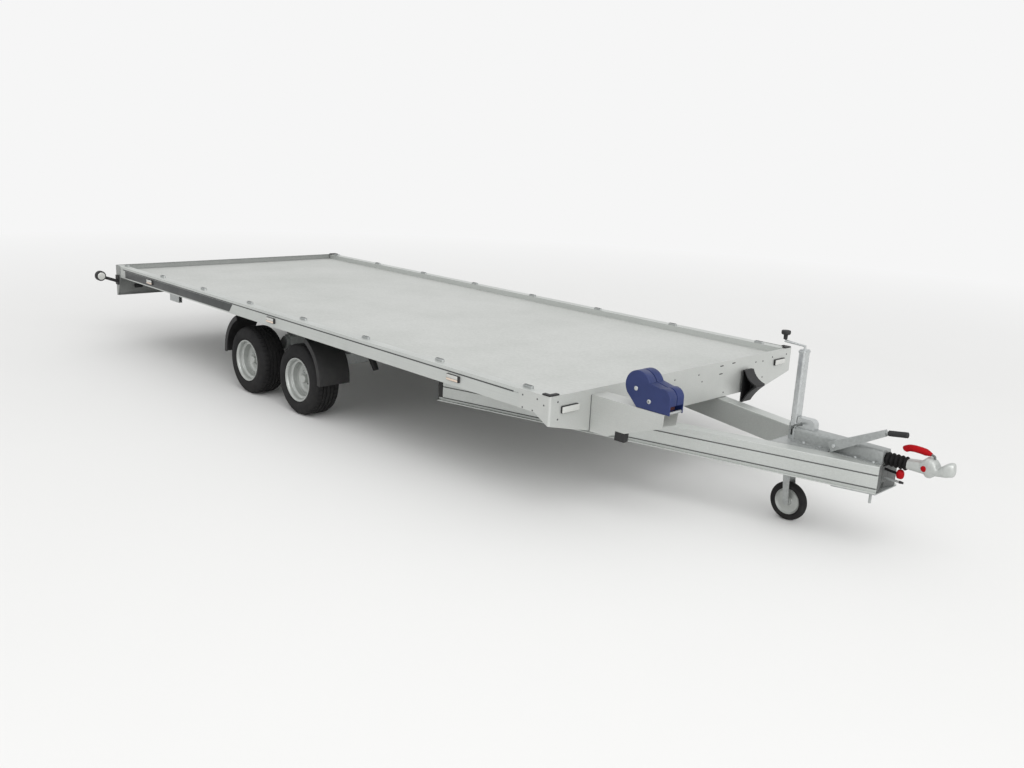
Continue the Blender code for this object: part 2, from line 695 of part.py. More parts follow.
def drawbar_loops():
    """The drawbar's section: a box with two grooves in its outer side and a foot flange.

    Points are (distance inwards from the flange's outer edge, height).
    """
    width, height, flange = DRAW_WIDTH, DRAW_HEIGHT, DRAW_FLANGE
    step, bend = DRAW_GROOVE, DRAW_CORNER
    outline = [
        (flange + width, 0),
        *arc((flange + width - bend, height - bend), bend, 0, 90, 2),
        *arc((flange + bend, height - bend), bend, 90, 180, 2),
        (flange, DRAW_HIGH_GROOVE + step), (flange + step, DRAW_HIGH_GROOVE + step),
        (flange + step, DRAW_HIGH_GROOVE), (flange, DRAW_HIGH_GROOVE),
        (flange, DRAW_LOW_GROOVE + step), (flange + step, DRAW_LOW_GROOVE + step),
        (flange + step, DRAW_LOW_GROOVE), (flange, DRAW_LOW_GROOVE),
        (flange, DRAW_WALL), (0, DRAW_WALL), (0, 0),
    ]
    hollow = rectangle(flange + DRAW_WALL + step, DRAW_WALL,
                       flange + width - DRAW_WALL, height - DRAW_WALL)
    return outline, hollow


def make_drawbar(name, side):
    """An extrusion along one leg of the V, open at its rear end and closed by a plug at the nose."""
    start = Vector((DRAW_REAR_X, side * DRAW_REAR_Y, DRAW_BOTTOM))
    end = Vector((DRAW_FRONT_X, side * DRAW_FRONT_Y, DRAW_BOTTOM))
    loops = [[(-side * u, v) for u, v in loop] for loop in drawbar_loops()]
    bar = section(name, loops, start, end, "aluminium")
    run = (end - start).normalized()
    (left, low), (right, high) = drawbar_loops()[1][0], drawbar_loops()[1][2]
    over = DRAW_WALL / 2
    plug = [(-side * u, v) for u, v in rectangle(left - over, low - over, right + over, high + over)]
    plug_end = end - run * DRAW_CAP / 4
    plug_start = plug_end - run * DRAW_CAP
    return join(bar, section(f"{name}_plug", [plug], plug_start, plug_end, "black_plastic"))


def drawbar_y(x):
    """How far out the drawbar's outer flange is at x."""
    share = (x - DRAW_REAR_X) / (DRAW_FRONT_X - DRAW_REAR_X)
    return DRAW_REAR_Y + (DRAW_FRONT_Y - DRAW_REAR_Y) * share


def across_drawbars(rear, front, inset):
    """A plate's outline between two places along X, inset from the drawbars' outer flanges."""
    right = [(rear, inset - drawbar_y(rear)), (front, inset - drawbar_y(front))]
    left = [(front, drawbar_y(front) - inset), (rear, drawbar_y(rear) - inset)]
    return right + left


def make_nose():
    """The plates that tie the drawbars: one between them round the jockey tube, one under the nose."""
    thickness = NOSE_PLATE
    run = Vector((DRAW_FRONT_X - DRAW_REAR_X, DRAW_REAR_Y - DRAW_FRONT_Y))
    inset = (DRAW_FLANGE + DRAW_WIDTH) * run.length / run.x + GAP
    outline = across_drawbars(BRIDGE_REAR, BRIDGE_FRONT, inset)
    z = DRAW_TOP - thickness / 2
    bridge = top_plate("jockey_bridge", [outline], z, thickness, "galvanised")
    slot_x, slot_y = JOCKEY_TUBE[0] / 2 + GAP, JOCKEY_TUBE[1] / 2 + GAP
    slot = rectangle(JOCKEY_X - slot_x, -slot_y, JOCKEY_X + slot_x, slot_y)
    cut(bridge, top_plate("bridge_slot", [slot], z, thickness * 4, "galvanised"))

    z = DRAW_BOTTOM - GAP - thickness / 2
    outline = across_drawbars(NOSE_PLATE_REAR, DRAW_FRONT_X, 0)
    plate = top_plate("nose_plate", [outline], z, thickness, "galvanised")
    foot_y = FOOT_INSET - drawbar_y(FOOT_X)
    join(plate, rod("nose_foot", [(FOOT_X, foot_y, z), (FOOT_X, foot_y, z - FOOT_HEIGHT)],
                    FOOT_RADIUS, "galvanised"))


def head_loops():
    """The coupling head's outlines: from the side as (x, z) and from above as (x, y)."""
    side = [(NOSE_X - back, COUPLING_Z + up) for back, up in HEAD_SIDE]
    right = [(NOSE_X - back, -half) for back, half in HEAD_PLAN]
    left = [(NOSE_X - back, half) for back, half in reversed(HEAD_PLAN)]
    return side, right + left


def make_coupling():
    """The overrun housing on the drawbars, its bellows, and the shaft with the coupling head."""
    low, half = DRAW_TOP + GAP, HOUSING_WIDTH / 2
    foot, foot_top = half + HOUSING_FOOT, low + SHEET
    top = HOUSING_TOP
    outline = [(-foot, low), (foot, low), (foot, foot_top), (half, foot_top),
               *arc((half - HOUSING_BEND, top - HOUSING_BEND), HOUSING_BEND, 0, 90, 3),
               *arc((HOUSING_BEND - half, top - HOUSING_BEND), HOUSING_BEND, 90, 180, 3),
               (-half, foot_top), (-foot, foot_top)]
    section("overrun_housing", [outline], (HOUSING_REAR, 0, 0), (HOUSING_FRONT, 0, 0), "galvanised")

    place = Matrix.Translation((HOUSING_FRONT + GAP, 0, COUPLING_Z))
    along_x = place @ Matrix.Rotation(math.radians(90), 4, "Y")
    length = BELLOWS_FRONT - HOUSING_FRONT - GAP
    pitch, valley = length / BELLOWS_FOLDS, BELLOWS_RADIUS * 0.78
    outer = []
    for fold in range(BELLOWS_FOLDS):
        start = fold * pitch
        crest = [(BELLOWS_RADIUS, start + pitch * share) for share in (0.35, 0.65)]
        outer += [(valley, start), *crest]
    outer.append((valley, length))
    bore = SHAFT_RADIUS + GAP
    profile = outer[::-1] + [(bore, 0), (bore, length)]
    turned("bellows", profile, 16, "black_plastic", along_x, closed=True)

    side, plan = head_loops()
    wide = max(half for back, half in HEAD_PLAN) * 3
    head = side_plate("coupling_head", [side], 0, wide, "galvanised")
    combine(head, [top_plate("head_plan", [plan], COUPLING_Z, wide * 2, "galvanised")], "INTERSECT")
    end = HEAD_REAR + SHAFT_IN_HEAD - HOUSING_FRONT
    shaft = [(0, end), (SHAFT_RADIUS, end), (SHAFT_RADIUS, 0), (0, 0)]
    join(head, turned("coupling_shaft", shaft, 16, "galvanised", along_x))
    button_x, cheek = NOSE_X - BUTTON_BEHIND_NOSE, HEAD_PLAN[2][1]
    join(head, rod("head_button", [(button_x, 0, COUPLING_Z), (button_x, -cheek, COUPLING_Z)],
                   BUTTON_RADIUS, "galvanised"))
    place = Matrix.Translation((BALL_X, 0, COUPLING_Z + BALL_ROOF))
    radius, depth = BALL_SOCKET_RADIUS, 4 * BALL_ROOF
    socket = [(0, 0), (radius, 0), (radius, -depth), (0, -depth)]
    cut(head, turned("ball_socket", socket, 24, "galvanised", place))
    return head


def make_coupling_handle():
    """The thick red grip and the thin rod that ends on the flat of the head's top."""
    line = [(NOSE_X - back, 0, COUPLING_Z + up) for back, up in GRIP_LINE]
    grip = rod("coupling_handle", line, HANDLE_RADIUS, "red_plastic")
    seat_x = NOSE_X - HANDLE_SEAT
    seat_z = COUPLING_Z + HEAD_SIDE[-4][1] + GAP
    front = line[-1]
    bend = (seat_x, 0, (front[2] + seat_z) / 2)
    inside = (front[0] - HANDLE_RADIUS, 0, front[2])
    line = [inside, front, bend, (seat_x, 0, seat_z)]
    return join(grip, rod("handle_rod", line, HANDLE_ROD, "galvanised"))


def make_lever():
    """The handbrake lever, a channel open below that tapers up to a bend, and the grip on its end."""
    pivot, bend, end = Vector(LEVER_PIVOT), Vector(LEVER_BEND), Vector(LEVER_END)
    run = (bend - pivot).normalized()
    up = Vector((-run.y, run.x))
    start = pivot - run * LEVER_REAR_HEIGHT / 2
    rear, front = up * LEVER_REAR_HEIGHT / 2, up * LEVER_FRONT_HEIGHT / 2
    lever = side_plate("handbrake_lever", [[start - rear, bend - front, bend + front, start + rear]],
                       LEVER_Y, LEVER_WIDTH, "galvanised")
    roof = up * LEVER_WALL
    first, last = start + run * LEVER_REAR_HEIGHT, bend - run * LEVER_FRONT_HEIGHT / 2
    inside = [first - 2 * rear, last - 2 * front, last + front - roof, first + rear - roof]
    wide = LEVER_WIDTH - 2 * LEVER_WALL
    cut(lever, side_plate("lever_hollow", [inside], LEVER_Y, wide, "galvanised"))
    boss_end = -HOUSING_WIDTH / 2 - GAP
    join(lever, rod("lever_boss", [(pivot.x, LEVER_Y, pivot.y), (pivot.x, boss_end, pivot.y)],
                    LEVER_BOSS, "galvanised"))
    tail = (end - bend).normalized()
    inner, outer = bend - tail * LEVER_BOSS, bend + tail * LEVER_BOSS
    join(lever, rod("lever_tongue", [(inner.x, LEVER_Y, inner.y), (outer.x, LEVER_Y, outer.y)],
                    LEVER_TONGUE, "galvanised"))
    outer = outer + tail * GAP
    rod("handbrake_grip", [(outer.x, LEVER_Y, outer.y), (end.x, LEVER_Y, end.y)],
        GRIP_RADIUS, "black_plastic", 3)


def tube_loop(inset, corner):
    """The jockey tube's outline (x, y), inset from its outer side."""
    half_x, half_y = JOCKEY_TUBE[0] / 2 - inset, JOCKEY_TUBE[1] / 2 - inset
    return rounded(JOCKEY_X - half_x, -half_y, JOCKEY_X + half_x, half_y, corner)


def make_jockey_tube():
    """The outer tube and cap, the clamp's sleeve and its hood over the housing, and the crank."""
    wall = JOCKEY_TUBE_WALL
    middle = (JOCKEY_TUBE_BOTTOM + JOCKEY_TUBE_TOP) / 2
    height = JOCKEY_TUBE_TOP - JOCKEY_TUBE_BOTTOM
    loops = [tube_loop(0, JOCKEY_CORNER), tube_loop(wall, JOCKEY_CORNER - wall)]
    tube = top_plate("jockey_tube", loops, middle, height, "galvanised")
    cap = [tube_loop(wall / 3, JOCKEY_CORNER)]
    join(tube, top_plate("jockey_cap", cap, JOCKEY_TUBE_TOP, 2 * wall, "galvanised"))

    middle = DRAW_TOP + GAP + CLAMP_HEIGHT / 2
    sleeve = [tube_loop(-CLAMP_WALL, JOCKEY_CORNER + CLAMP_WALL),
              tube_loop(wall / 2, JOCKEY_CORNER - wall / 2)]
    join(tube, top_plate("clamp_sleeve", sleeve, middle, CLAMP_HEIGHT, "galvanised"))
    left, low = JOCKEY_X + JOCKEY_TUBE[0] / 2 + CLAMP_WALL / 2, HOUSING_TOP + GAP
    right, top = left + CLAMP_REACH, CLAMP_TOP
    bend = (right - CLAMP_ROUND, top - CLAMP_ROUND)
    hood = [(left, low), (right, low), *arc(bend, CLAMP_ROUND, 0, 90, 4), (left, top)]
    wide = JOCKEY_TUBE[1] * 0.8
    hood_body = side_plate("clamp_hood", [hood], 0, wide, "galvanised")
    hollow = [(left + 2 * SHEET, low - SHEET), (right - SHEET, low - SHEET),
              *arc(bend, CLAMP_ROUND - SHEET, 0, 90, 4), (left + 2 * SHEET, top - SHEET)]
    cut(hood_body, side_plate("hood_hollow", [hollow], 0, wide - 2 * SHEET, "galvanised"))
    join(tube, hood_body)

    crank_x, bar_z = JOCKEY_X - CRANK_REACH, CRANK_Z + CRANK_RADIUS
    line = [(JOCKEY_X, 0, JOCKEY_TUBE_TOP), (JOCKEY_X, 0, CRANK_Z), (crank_x, 0, bar_z)]
    join(tube, rod("jockey_crank", line, CRANK_RADIUS, "galvanised"))
    base = bar_z + CRANK_RADIUS + GAP
    rise = KNOB_TOP - base
    head, stem = KNOB_RADIUS, KNOB_RADIUS * 0.45
    profile = [(0, rise), (head * 0.92, rise), (head, rise - 0.003), (head, rise - 0.018),
               (stem, rise - 0.022), (stem, 0), (0, 0)]
    turned("crank_knob", profile, 16, "black_plastic", Matrix.Translation((crank_x, 0, base)))


def make_jockey_wheel():
    """The leg in the tube, and the forked arm that folds back on its pin with the wheel."""
    slip = JOCKEY_TUBE_WALL + JOCKEY_SLIP
    low = JOCKEY_PIVOT_Z + 0.020
    leg = top_plate("jockey_leg", [tube_loop(slip, JOCKEY_CORNER - slip)], (low + JOCKEY_LEG_TOP) / 2,
                    JOCKEY_LEG_TOP - low, "galvanised")
    half = 2 * JOCKEY_PIN
    tongue = rounded(JOCKEY_X - half, JOCKEY_PIVOT_Z - half, JOCKEY_X + half, low + JOCKEY_PIN, half * 0.7)
    join(leg, side_plate("leg_tongue", [tongue], 0, 4 * JOCKEY_PIN, "galvanised"))

    axle_x, axle_z = JOCKEY_X + JOCKEY_LEAD, JOCKEY_RADIUS
    ear_y = JOCKEY_WIDTH / 2 + JOCKEY_CLEARANCE
    ear = [*arc((axle_x, axle_z), 0.016, 180, 360, 5), *arc((JOCKEY_X, JOCKEY_PIVOT_Z), 0.018, 0, 180, 5)]
    fork = side_plate("jockey_fork", [ear], -ear_y - EAR_WALL / 2, EAR_WALL, "galvanised")
    join(fork, side_plate("fork_ear", [ear], ear_y + EAR_WALL / 2, EAR_WALL, "galvanised"))
    end = ear_y + EAR_WALL * 1.5
    for word, x, z in (("pivot", JOCKEY_X, JOCKEY_PIVOT_Z), ("axle", axle_x, axle_z)):
        join(fork, rod(f"fork_{word}", [(x, -end, z), (x, end, z)], JOCKEY_PIN, "galvanised"))
    bore = JOCKEY_PIN + JOCKEY_SLIP
    cut(leg, rod("leg_bore", [(JOCKEY_X, -end, JOCKEY_PIVOT_Z), (JOCKEY_X, end, JOCKEY_PIVOT_Z)],
                 bore, "galvanised", 4))

    wheel_place = Matrix.Translation((axle_x, 0, axle_z)) @ Matrix.Rotation(math.radians(90), 4, "X")
    half, hub, outside = JOCKEY_WIDTH / 2, JOCKEY_HUB, JOCKEY_RADIUS
    shoulder = [(hub, half * 0.8), (hub + 0.007, half), (outside - 0.012, half), (outside, half * 0.45)]
    tyre = shoulder + [(r, -z) for r, z in reversed(shoulder)]
    turned("jockey_tyre", tyre, 24, "tyre", wheel_place, closed=True)
    face = [(bore, half), (0.020, half), (0.022, half * 0.3), (hub - 0.010, half * 0.3),
            (hub - GAP, half * 0.8)]
    rim = face + [(r, -z) for r, z in reversed(face)]
    turned("jockey_rim", rim, 24, "rim", wheel_place, closed=True)


def cover_outline(inset):
    """Two round lobes with a waist between them, flat along the foot, as (x, z)."""
    big_x, big_z, big = BIG_LOBE
    small_x, small_z, small = SMALL_LOBE
    foot = POST_TOP + GAP + inset
    front = small_x + small - inset
    return [(big_x, foot), (front, foot), *arc((small_x, small_z), small - inset, 0, 108, 7),
            *arc((big_x, big_z), big - inset, 22, 215, 12)]


def make_winch():
    """A folded cantilever post on the front panel, open below and in front, and the winch's cover on top."""
    rear = GAP
    outline = [(rear, POST_BOTTOM), (POST_FOOT, POST_BOTTOM + SHEET),
               (POST_LENGTH - 2 * SHEET, POST_TIP_BOTTOM), (POST_LENGTH, POST_TOP), (rear, POST_TOP)]
    post = side_plate("winch_post", [outline], POST_Y, POST_WIDTH, "aluminium")
    deep = POST_BOTTOM - 10 * SHEET
    inside = rectangle(rear - SHEET, deep, POST_LENGTH + 10 * SHEET, POST_TOP - SHEET)
    cut(post, side_plate("post_hollow", [inside], POST_Y, POST_WIDTH - 2 * SHEET, "aluminium"))

    half = (POST_WIDTH - COVER_SEAM) / 2 - SHEET / 3
    offset = (COVER_SEAM + half) / 2
    cover = side_plate("winch_cover", [cover_outline(0)], POST_Y - offset, half, "blue_plastic")
    join(cover, side_plate("cover_left_half", [cover_outline(0)], POST_Y + offset, half, "blue_plastic"))
    seam = cover_outline(COVER_SEAM_DEPTH)
    join(cover, side_plate("cover_seam", [seam], POST_Y, 4 * COVER_SEAM, "blue_plastic"))
    front = SMALL_LOBE[0] + SMALL_LOBE[2]
    mouth = rectangle(front - MOUTH_DEPTH, POST_TOP - SHEET, front + SHEET, POST_TOP + MOUTH_HEIGHT)
    cut(cover, side_plate("cover_mouth", [mouth], POST_Y, POST_WIDTH - 2 * MOUTH_CHEEK, "blue_plastic"))
    return cover


def sagged(start, end, sag, count):
    """Points from start to end on a shallow curve that sags to the right of the run."""
    start, end = Vector(start), Vector(end)
    run = end - start
    right = Vector((run.y, -run.x)).normalized()
    shares = [i / count for i in range(count + 1)]
    return [start + run * t + right * sag * 4 * t * (1 - t) for t in shares]


def chock_outline(inset):
    """The chock from the side: a flat back and two hollow-curved faces that meet at a blunt nose."""
    back, knob = GAP + CHOCK_BACK + inset, CHOCK_KNOB - inset
    low, top = CHOCK_BOTTOM + 2 * inset, CHOCK_TOP - inset
    tip_x, tip_z = CHOCK_TIP[0] - 2 * inset, CHOCK_TIP[1]
    blunt = SHEET * 2 - inset / 3
    upper = sagged((back + knob, top), (tip_x, tip_z + blunt), CHOCK_UPPER_SAG, 5)
    lower = sagged((tip_x, tip_z - blunt), (back + knob, low), CHOCK_LOWER_SAG, 5)
    return [(back, low), (back, top), *upper, *lower]


def make_chock():
    """A wheel chock hung on the panel's holder, hollow from the side that looks to the centreline."""
    chock = side_plate("wheel_chock", [chock_outline(0)], CHOCK_Y, CHOCK_WIDTH, "black_plastic")
    cut(chock, side_plate("chock_pocket", [chock_outline(CHOCK_WALL)], CHOCK_Y - CHOCK_WALL, CHOCK_WIDTH,
                          "black_plastic"))
    foot = PANEL_MIDDLE_BOTTOM + SHEET
    holder = rectangle(GAP, foot, CHOCK_BACK, foot + HOLDER_HEIGHT)
    side_plate("chock_holder", [holder], CHOCK_Y, CHOCK_WIDTH * 0.6, "galvanised")


def make_axle(name, wheel_x):
    """A square torsion tube under the long beams with a swing arm, stub and back plate at each end."""
    x, half = wheel_x + AXLE_LEAD, AXLE_TUBE / 2
    outline = rounded(x - half, AXLE_Z - half, x + half, AXLE_Z + half, AXLE_CORNER)
    overlap = RIM_WALL / 2
    end = ARM_Y - ARM_THICKNESS / 2 + overlap
    axle = section(name, [outline], (0, end, 0), (0, -end, 0), "galvanised")
    for side in (-1, 1):
        arm = [*arc((wheel_x, TYRE_RADIUS), ARM_ROUND - 0.006, 120, 320, 5),
               *arc((x, AXLE_Z), ARM_ROUND, -40, 150, 5)]
        join(axle, side_plate(f"{name}_arm_{side}", [arm], side * ARM_Y, ARM_THICKNESS, "galvanised"))
        inner = ARM_Y + ARM_THICKNESS / 2 - overlap
        place = Matrix.Translation((wheel_x, side * inner, TYRE_RADIUS)) @ Matrix.Rotation(
            math.radians(-90 * side), 4, "X")
        length, lug = WHEEL_Y + STUB_PAST_MIDDLE - inner, DRUM_WALL
        stub = [(0, length), (STUB_RADIUS, length), (STUB_RADIUS, lug + BACK_PLATE),
                (DRUM_RADIUS, lug + BACK_PLATE), (DRUM_RADIUS, lug), (ARM_ROUND, lug), (ARM_ROUND, 0),
                (0, 0)]
        join(axle, turned(f"{name}_stub_{side}", stub, 20, "galvanised", place))
        pad = rectangle(x - AXLE_PAD / 2, AXLE_Z + half - overlap, x + AXLE_PAD / 2, LONG_BEAM_BOTTOM - GAP)
        join(axle, side_plate(f"{name}_pad_{side}", [pad], side * LONG_BEAM_Y, LONG_BEAM_WIDTH, "galvanised"))
    return axle


def rim_profile():
    """The rim with its stepped barrel, disc, hub cap and brake drum.

    Points are (radius, distance outboard of the wheel's middle).
    """
    bead, wall, barrel = RIM_RADIUS - GAP, RIM_WALL, BARREL_RADIUS
    edge, disc = TYRE_WIDTH / 2 - RIM_INSET, DISC_PLACE
    bore = STUB_RADIUS + GAP
    drum_back = BACK_PLATE + DRUM_WALL / 2 + RIM_WALL / 4 - ARM_INSIDE_WHEEL + ARM_THICKNESS / 2
    return [
        (0, HUB_TOP), (HUB_RADIUS - 0.004, HUB_TOP), (HUB_RADIUS, disc), (barrel - 0.034, disc),
        (barrel - 0.020, disc + 0.010), (barrel, disc + 0.006), (barrel, edge - 0.038),
        (bead - 0.016, edge - 0.034), (bead - 0.014, edge - 0.012), (bead - 0.006, edge),
        (bead, edge), (bead, edge - 0.022),
        (barrel + wall, edge - 0.042), (barrel + wall, 0.030 - edge), (bead, 0.016 - edge), (bead, -edge),
        (bead - wall, -edge), (barrel, 0.034 - edge), (barrel, disc - 0.006),
        (DRUM_RADIUS + DRUM_WALL, disc - 0.006), (DRUM_RADIUS + DRUM_WALL, drum_back),
        (DRUM_RADIUS - DRUM_WALL, drum_back), (DRUM_RADIUS - DRUM_WALL, disc - 0.014),
        (bore, disc - 0.014), (bore, STUB_PAST_MIDDLE + GAP), (0, STUB_PAST_MIDDLE + GAP),
    ]


def make_wheel(name, wheel_x, side):
    """A low wide tyre and a dished steel rim with its brake drum. Local +Z points outboard."""
    place = Matrix.Translation((wheel_x, side * WHEEL_Y, TYRE_RADIUS)) @ Matrix.Rotation(
        math.radians(-90 * side), 4, "X")
    half, rim = TYRE_WIDTH / 2, RIM_RADIUS
    shoulder = [(rim, half - 0.012), (rim + 0.014, half - 0.004), (rim + 0.038, half),
                (TYRE_RADIUS - 0.022, half - 0.007), (TYRE_RADIUS - 0.006, half - 0.018),
                (TYRE_RADIUS, half - 0.036)]
    tyre = shoulder + [(r, -z) for r, z in reversed(shoulder)]
    turned(f"{name}_tyre", tyre, WHEEL_STEPS, "tyre", place, closed=True)
    turned(f"{name}_rim", rim_profile(), WHEEL_STEPS, "rim", place)


def make_mudguard(name, wheel_x, side, front):
    """A quarter hoop of moulded plastic with a lip along its outer edge, hung from the rail's ledge."""
    low_angle, high_angle = GUARD_LOW_ANGLE, GUARD_TOP_ANGLE
    if not front:
        low_angle, high_angle = 180.0 - low_angle, 180.0 - high_angle
    centre = (wheel_x, TYRE_RADIUS + GUARD_LIFT)
    outer_y = TYRE_OUTER_Y + GUARD_PAST_TYRE
    inner_y = outer_y - GUARD_WIDTH
    wall, inside, outside = GUARD_WALL, GUARD_RADIUS, GUARD_RADIUS + GUARD_WALL
    loop = [(inside, inner_y), (outside, inner_y), (outside, outer_y), (inside - GUARD_LIP, outer_y),
            (inside - GUARD_LIP, outer_y - wall), (inside, outer_y - wall)]
    loop = [(r, side * y) for r, y in loop]
    guard = swung(name, loop, centre, low_angle, high_angle, 10, "black_plastic")
    forward = 1 if front else -1
    top = math.radians(GUARD_TOP_ANGLE)
    tab_x = wheel_x + forward * (inside * math.cos(top) + 2.5 * wall)
    tab_low = centre[1] + inside * math.sin(top) - 3 * wall
    ledge = DECK_BOTTOM - 2 * GAP - RAIL_WALL
    tab_outer = outer_y - 1.5 * wall
    tab = rectangle(tab_outer - GUARD_TAB, tab_low, tab_outer, ledge)
    join(guard, front_plate(f"{name}_tab", [mirrored(tab, side)], tab_x, wall, "black_plastic"))
    return guard


def member_places():
    front = [-MEMBER_FIRST - MEMBER_PITCH * i for i in range(MEMBERS_EACH_END)]
    rear = [REAR_X + MEMBER_LAST + MEMBER_PITCH * i for i in range(MEMBERS_EACH_END)]
    return front + rear[::-1]


def make_all():
    make_deck()
    make_front_panel()
    make_rear_panel()
    for word, side in (("right", -1), ("left", 1)):
        make_rail(f"side_rail_{word}", side)
        make_rail_bracket(f"rail_bracket_{word}", side)
        make_tail_lamp(f"tail_lamp_{word}", side)
        make_marker_arm(f"marker_arm_{word}", side)
        make_long_beam(f"long_beam_{word}", side)
        make_drawbar(f"drawbar_{word}", side)
        for place, wheel_x in zip(("front", "rear"), AXLE_X):
            make_wheel(f"wheel_{place}_{word}", wheel_x, side)
            make_mudguard(f"mudguard_{place}_{word}", wheel_x, side, place == "front")
    for number, x in enumerate(member_places(), 1):
        make_member(f"cross_member_{number}", x)
    for place, wheel_x in zip(("front", "rear"), AXLE_X):
        make_axle(f"axle_{place}", wheel_x)
    make_nose()
    make_coupling()
    make_coupling_handle()
    make_lever()
    make_jockey_tube()
    make_jockey_wheel()
    make_winch()
    make_chock()


make_all()
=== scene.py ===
"""The looks of the flatbed trailer: its finishes, trim pieces, floor, lamps and camera."""

import math

import bpy
import numpy as np
from mathutils import Matrix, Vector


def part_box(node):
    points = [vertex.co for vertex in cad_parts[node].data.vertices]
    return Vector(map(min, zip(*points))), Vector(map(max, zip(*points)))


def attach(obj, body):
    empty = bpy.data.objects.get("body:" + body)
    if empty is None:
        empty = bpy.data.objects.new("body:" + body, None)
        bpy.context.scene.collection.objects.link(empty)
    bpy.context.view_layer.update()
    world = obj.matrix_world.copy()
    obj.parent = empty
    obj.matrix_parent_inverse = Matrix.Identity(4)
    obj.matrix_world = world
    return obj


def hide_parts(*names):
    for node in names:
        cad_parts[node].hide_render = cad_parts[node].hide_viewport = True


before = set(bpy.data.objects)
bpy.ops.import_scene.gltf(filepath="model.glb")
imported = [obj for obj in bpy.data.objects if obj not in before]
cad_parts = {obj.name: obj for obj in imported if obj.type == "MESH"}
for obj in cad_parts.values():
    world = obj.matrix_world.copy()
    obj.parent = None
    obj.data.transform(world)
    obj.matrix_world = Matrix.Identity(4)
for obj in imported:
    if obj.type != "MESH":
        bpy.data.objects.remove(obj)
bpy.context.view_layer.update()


# Shared effects: groups that give only colours, masks and heights

NOISE_SPAN = (0.3, 0.7)
PATCH_SPAN = (0.42, 0.72)
SPECKLE = (0.94, 1.05)
LINE_STRETCH = (0.012, 1, 1)
LINE_FINENESS = 260.0
FACET_SCALE = 90.0
FACET_ROUGHNESS = (-0.06, 0.06)
DUST_SPAN = (0.35, 0.75)
DUST_TONE = "8A857B"


def effect(name, inputs, outputs):
    """An empty group with named inputs and outputs, each with its kind of socket."""
    group = bpy.data.node_groups.new(name, "ShaderNodeTree")
    for words, way in ((inputs, "INPUT"), (outputs, "OUTPUT")):
        for word, kind in words.items():
            group.interface.new_socket(word, in_out=way, socket_type=f"NodeSocket{kind}")
    return group, group.nodes.new("NodeGroupInput").outputs, group.nodes.new("NodeGroupOutput").inputs


def put(tree, kind, links=(), **settings):
    """A node with its settings and with what feeds its sockets: a socket or a plain value."""
    node = tree.nodes.new(kind)
    for word, value in settings.items():
        setattr(node, word, value)
    for word, source in dict(links).items():
        socket = node.inputs[word]
        if isinstance(source, bpy.types.NodeSocket):
            tree.links.new(source, socket)
        else:
            socket.default_value = source
    return node


def noise(tree, vector, scale, detail, roughness):
    return put(tree, "ShaderNodeTexNoise", {"Vector": vector, "Scale": scale, "Detail": detail,
                                            "Roughness": roughness}).outputs["Fac"]


def ranged(tree, value, low, high, to_low=0.0, to_high=1.0):
    """The value, held between low and high, carried over to another range."""
    made = put(tree, "ShaderNodeMapRange", {"Value": value, "From Min": low, "From Max": high,
                                            "To Min": to_low, "To Max": to_high}, clamp=True)
    return made.outputs["Result"]


def maths(tree, operation, first, second):
    return put(tree, "ShaderNodeMath", {0: first, 1: second}, operation=operation).outputs[0]


def mixed(tree, share, first, second, blend="MIX"):
    links = {0: share, 6: first, 7: second}
    return put(tree, "ShaderNodeMix", links, data_type="RGBA", blend_type=blend).outputs[2]


def shaded(tree, tone, shade):
    """A tone multiplied by a grey of the given strength."""
    grey = put(tree, "ShaderNodeCombineColor", {0: shade, 1: shade, 2: shade}).outputs[0]
    return mixed(tree, 1.0, tone, grey, "MULTIPLY")


def patina_effect():
    """Broad cloudy tone, fine grain and small marks over a base colour."""
    group, get, give = effect(
        "patina", {"Vector": "Vector", "Colour": "Color", "Stain": "Color", "Stain share": "Float",
                   "Cloud scale": "Float", "Grain scale": "Float", "Roughness": "Float",
                   "Roughness spread": "Float"}, {"Colour": "Color", "Roughness": "Float", "Height": "Float"})
    cloud = noise(group, get["Vector"], get["Cloud scale"], 5, 0.6)
    grain = noise(group, get["Vector"], get["Grain scale"], 2, 0.6)
    share = maths(group, "MULTIPLY", ranged(group, cloud, *PATCH_SPAN), get["Stain share"])
    toned = mixed(group, share, get["Colour"], get["Stain"])
    speckle = ranged(group, grain, *NOISE_SPAN, *SPECKLE)
    group.links.new(shaded(group, toned, speckle), give["Colour"])
    spread = maths(group, "MULTIPLY", ranged(group, cloud, *NOISE_SPAN, -1, 1), get["Roughness spread"])
    group.links.new(maths(group, "ADD", get["Roughness"], spread), give["Roughness"])
    halves = [maths(group, "MULTIPLY", part, 0.5) for part in (grain, cloud)]
    group.links.new(maths(group, "ADD", *halves), give["Height"])
    return group


def streaks_effect():
    """Fine lines drawn along X, as on rolled or extruded metal."""
    group, get, give = effect("streaks", {"Vector": "Vector"}, {"Mask": "Float"})
    lines = put(group, "ShaderNodeMapping", {"Vector": get["Vector"], "Scale": LINE_STRETCH})
    group.links.new(noise(group, lines.outputs["Vector"], LINE_FINENESS, 2, 0.55), give["Mask"])
    return group


def spangle_effect():
    """The crystal facets of hot-dip zinc."""
    group, get, give = effect("spangle", {"Vector": "Vector"}, {"Mask": "Float"})
    cells = put(group, "ShaderNodeTexVoronoi", {"Vector": get["Vector"], "Scale": FACET_SCALE})
    split = put(group, "ShaderNodeSeparateColor", {0: cells.outputs["Color"]})
    group.links.new(split.outputs[0], give["Mask"])
    return group


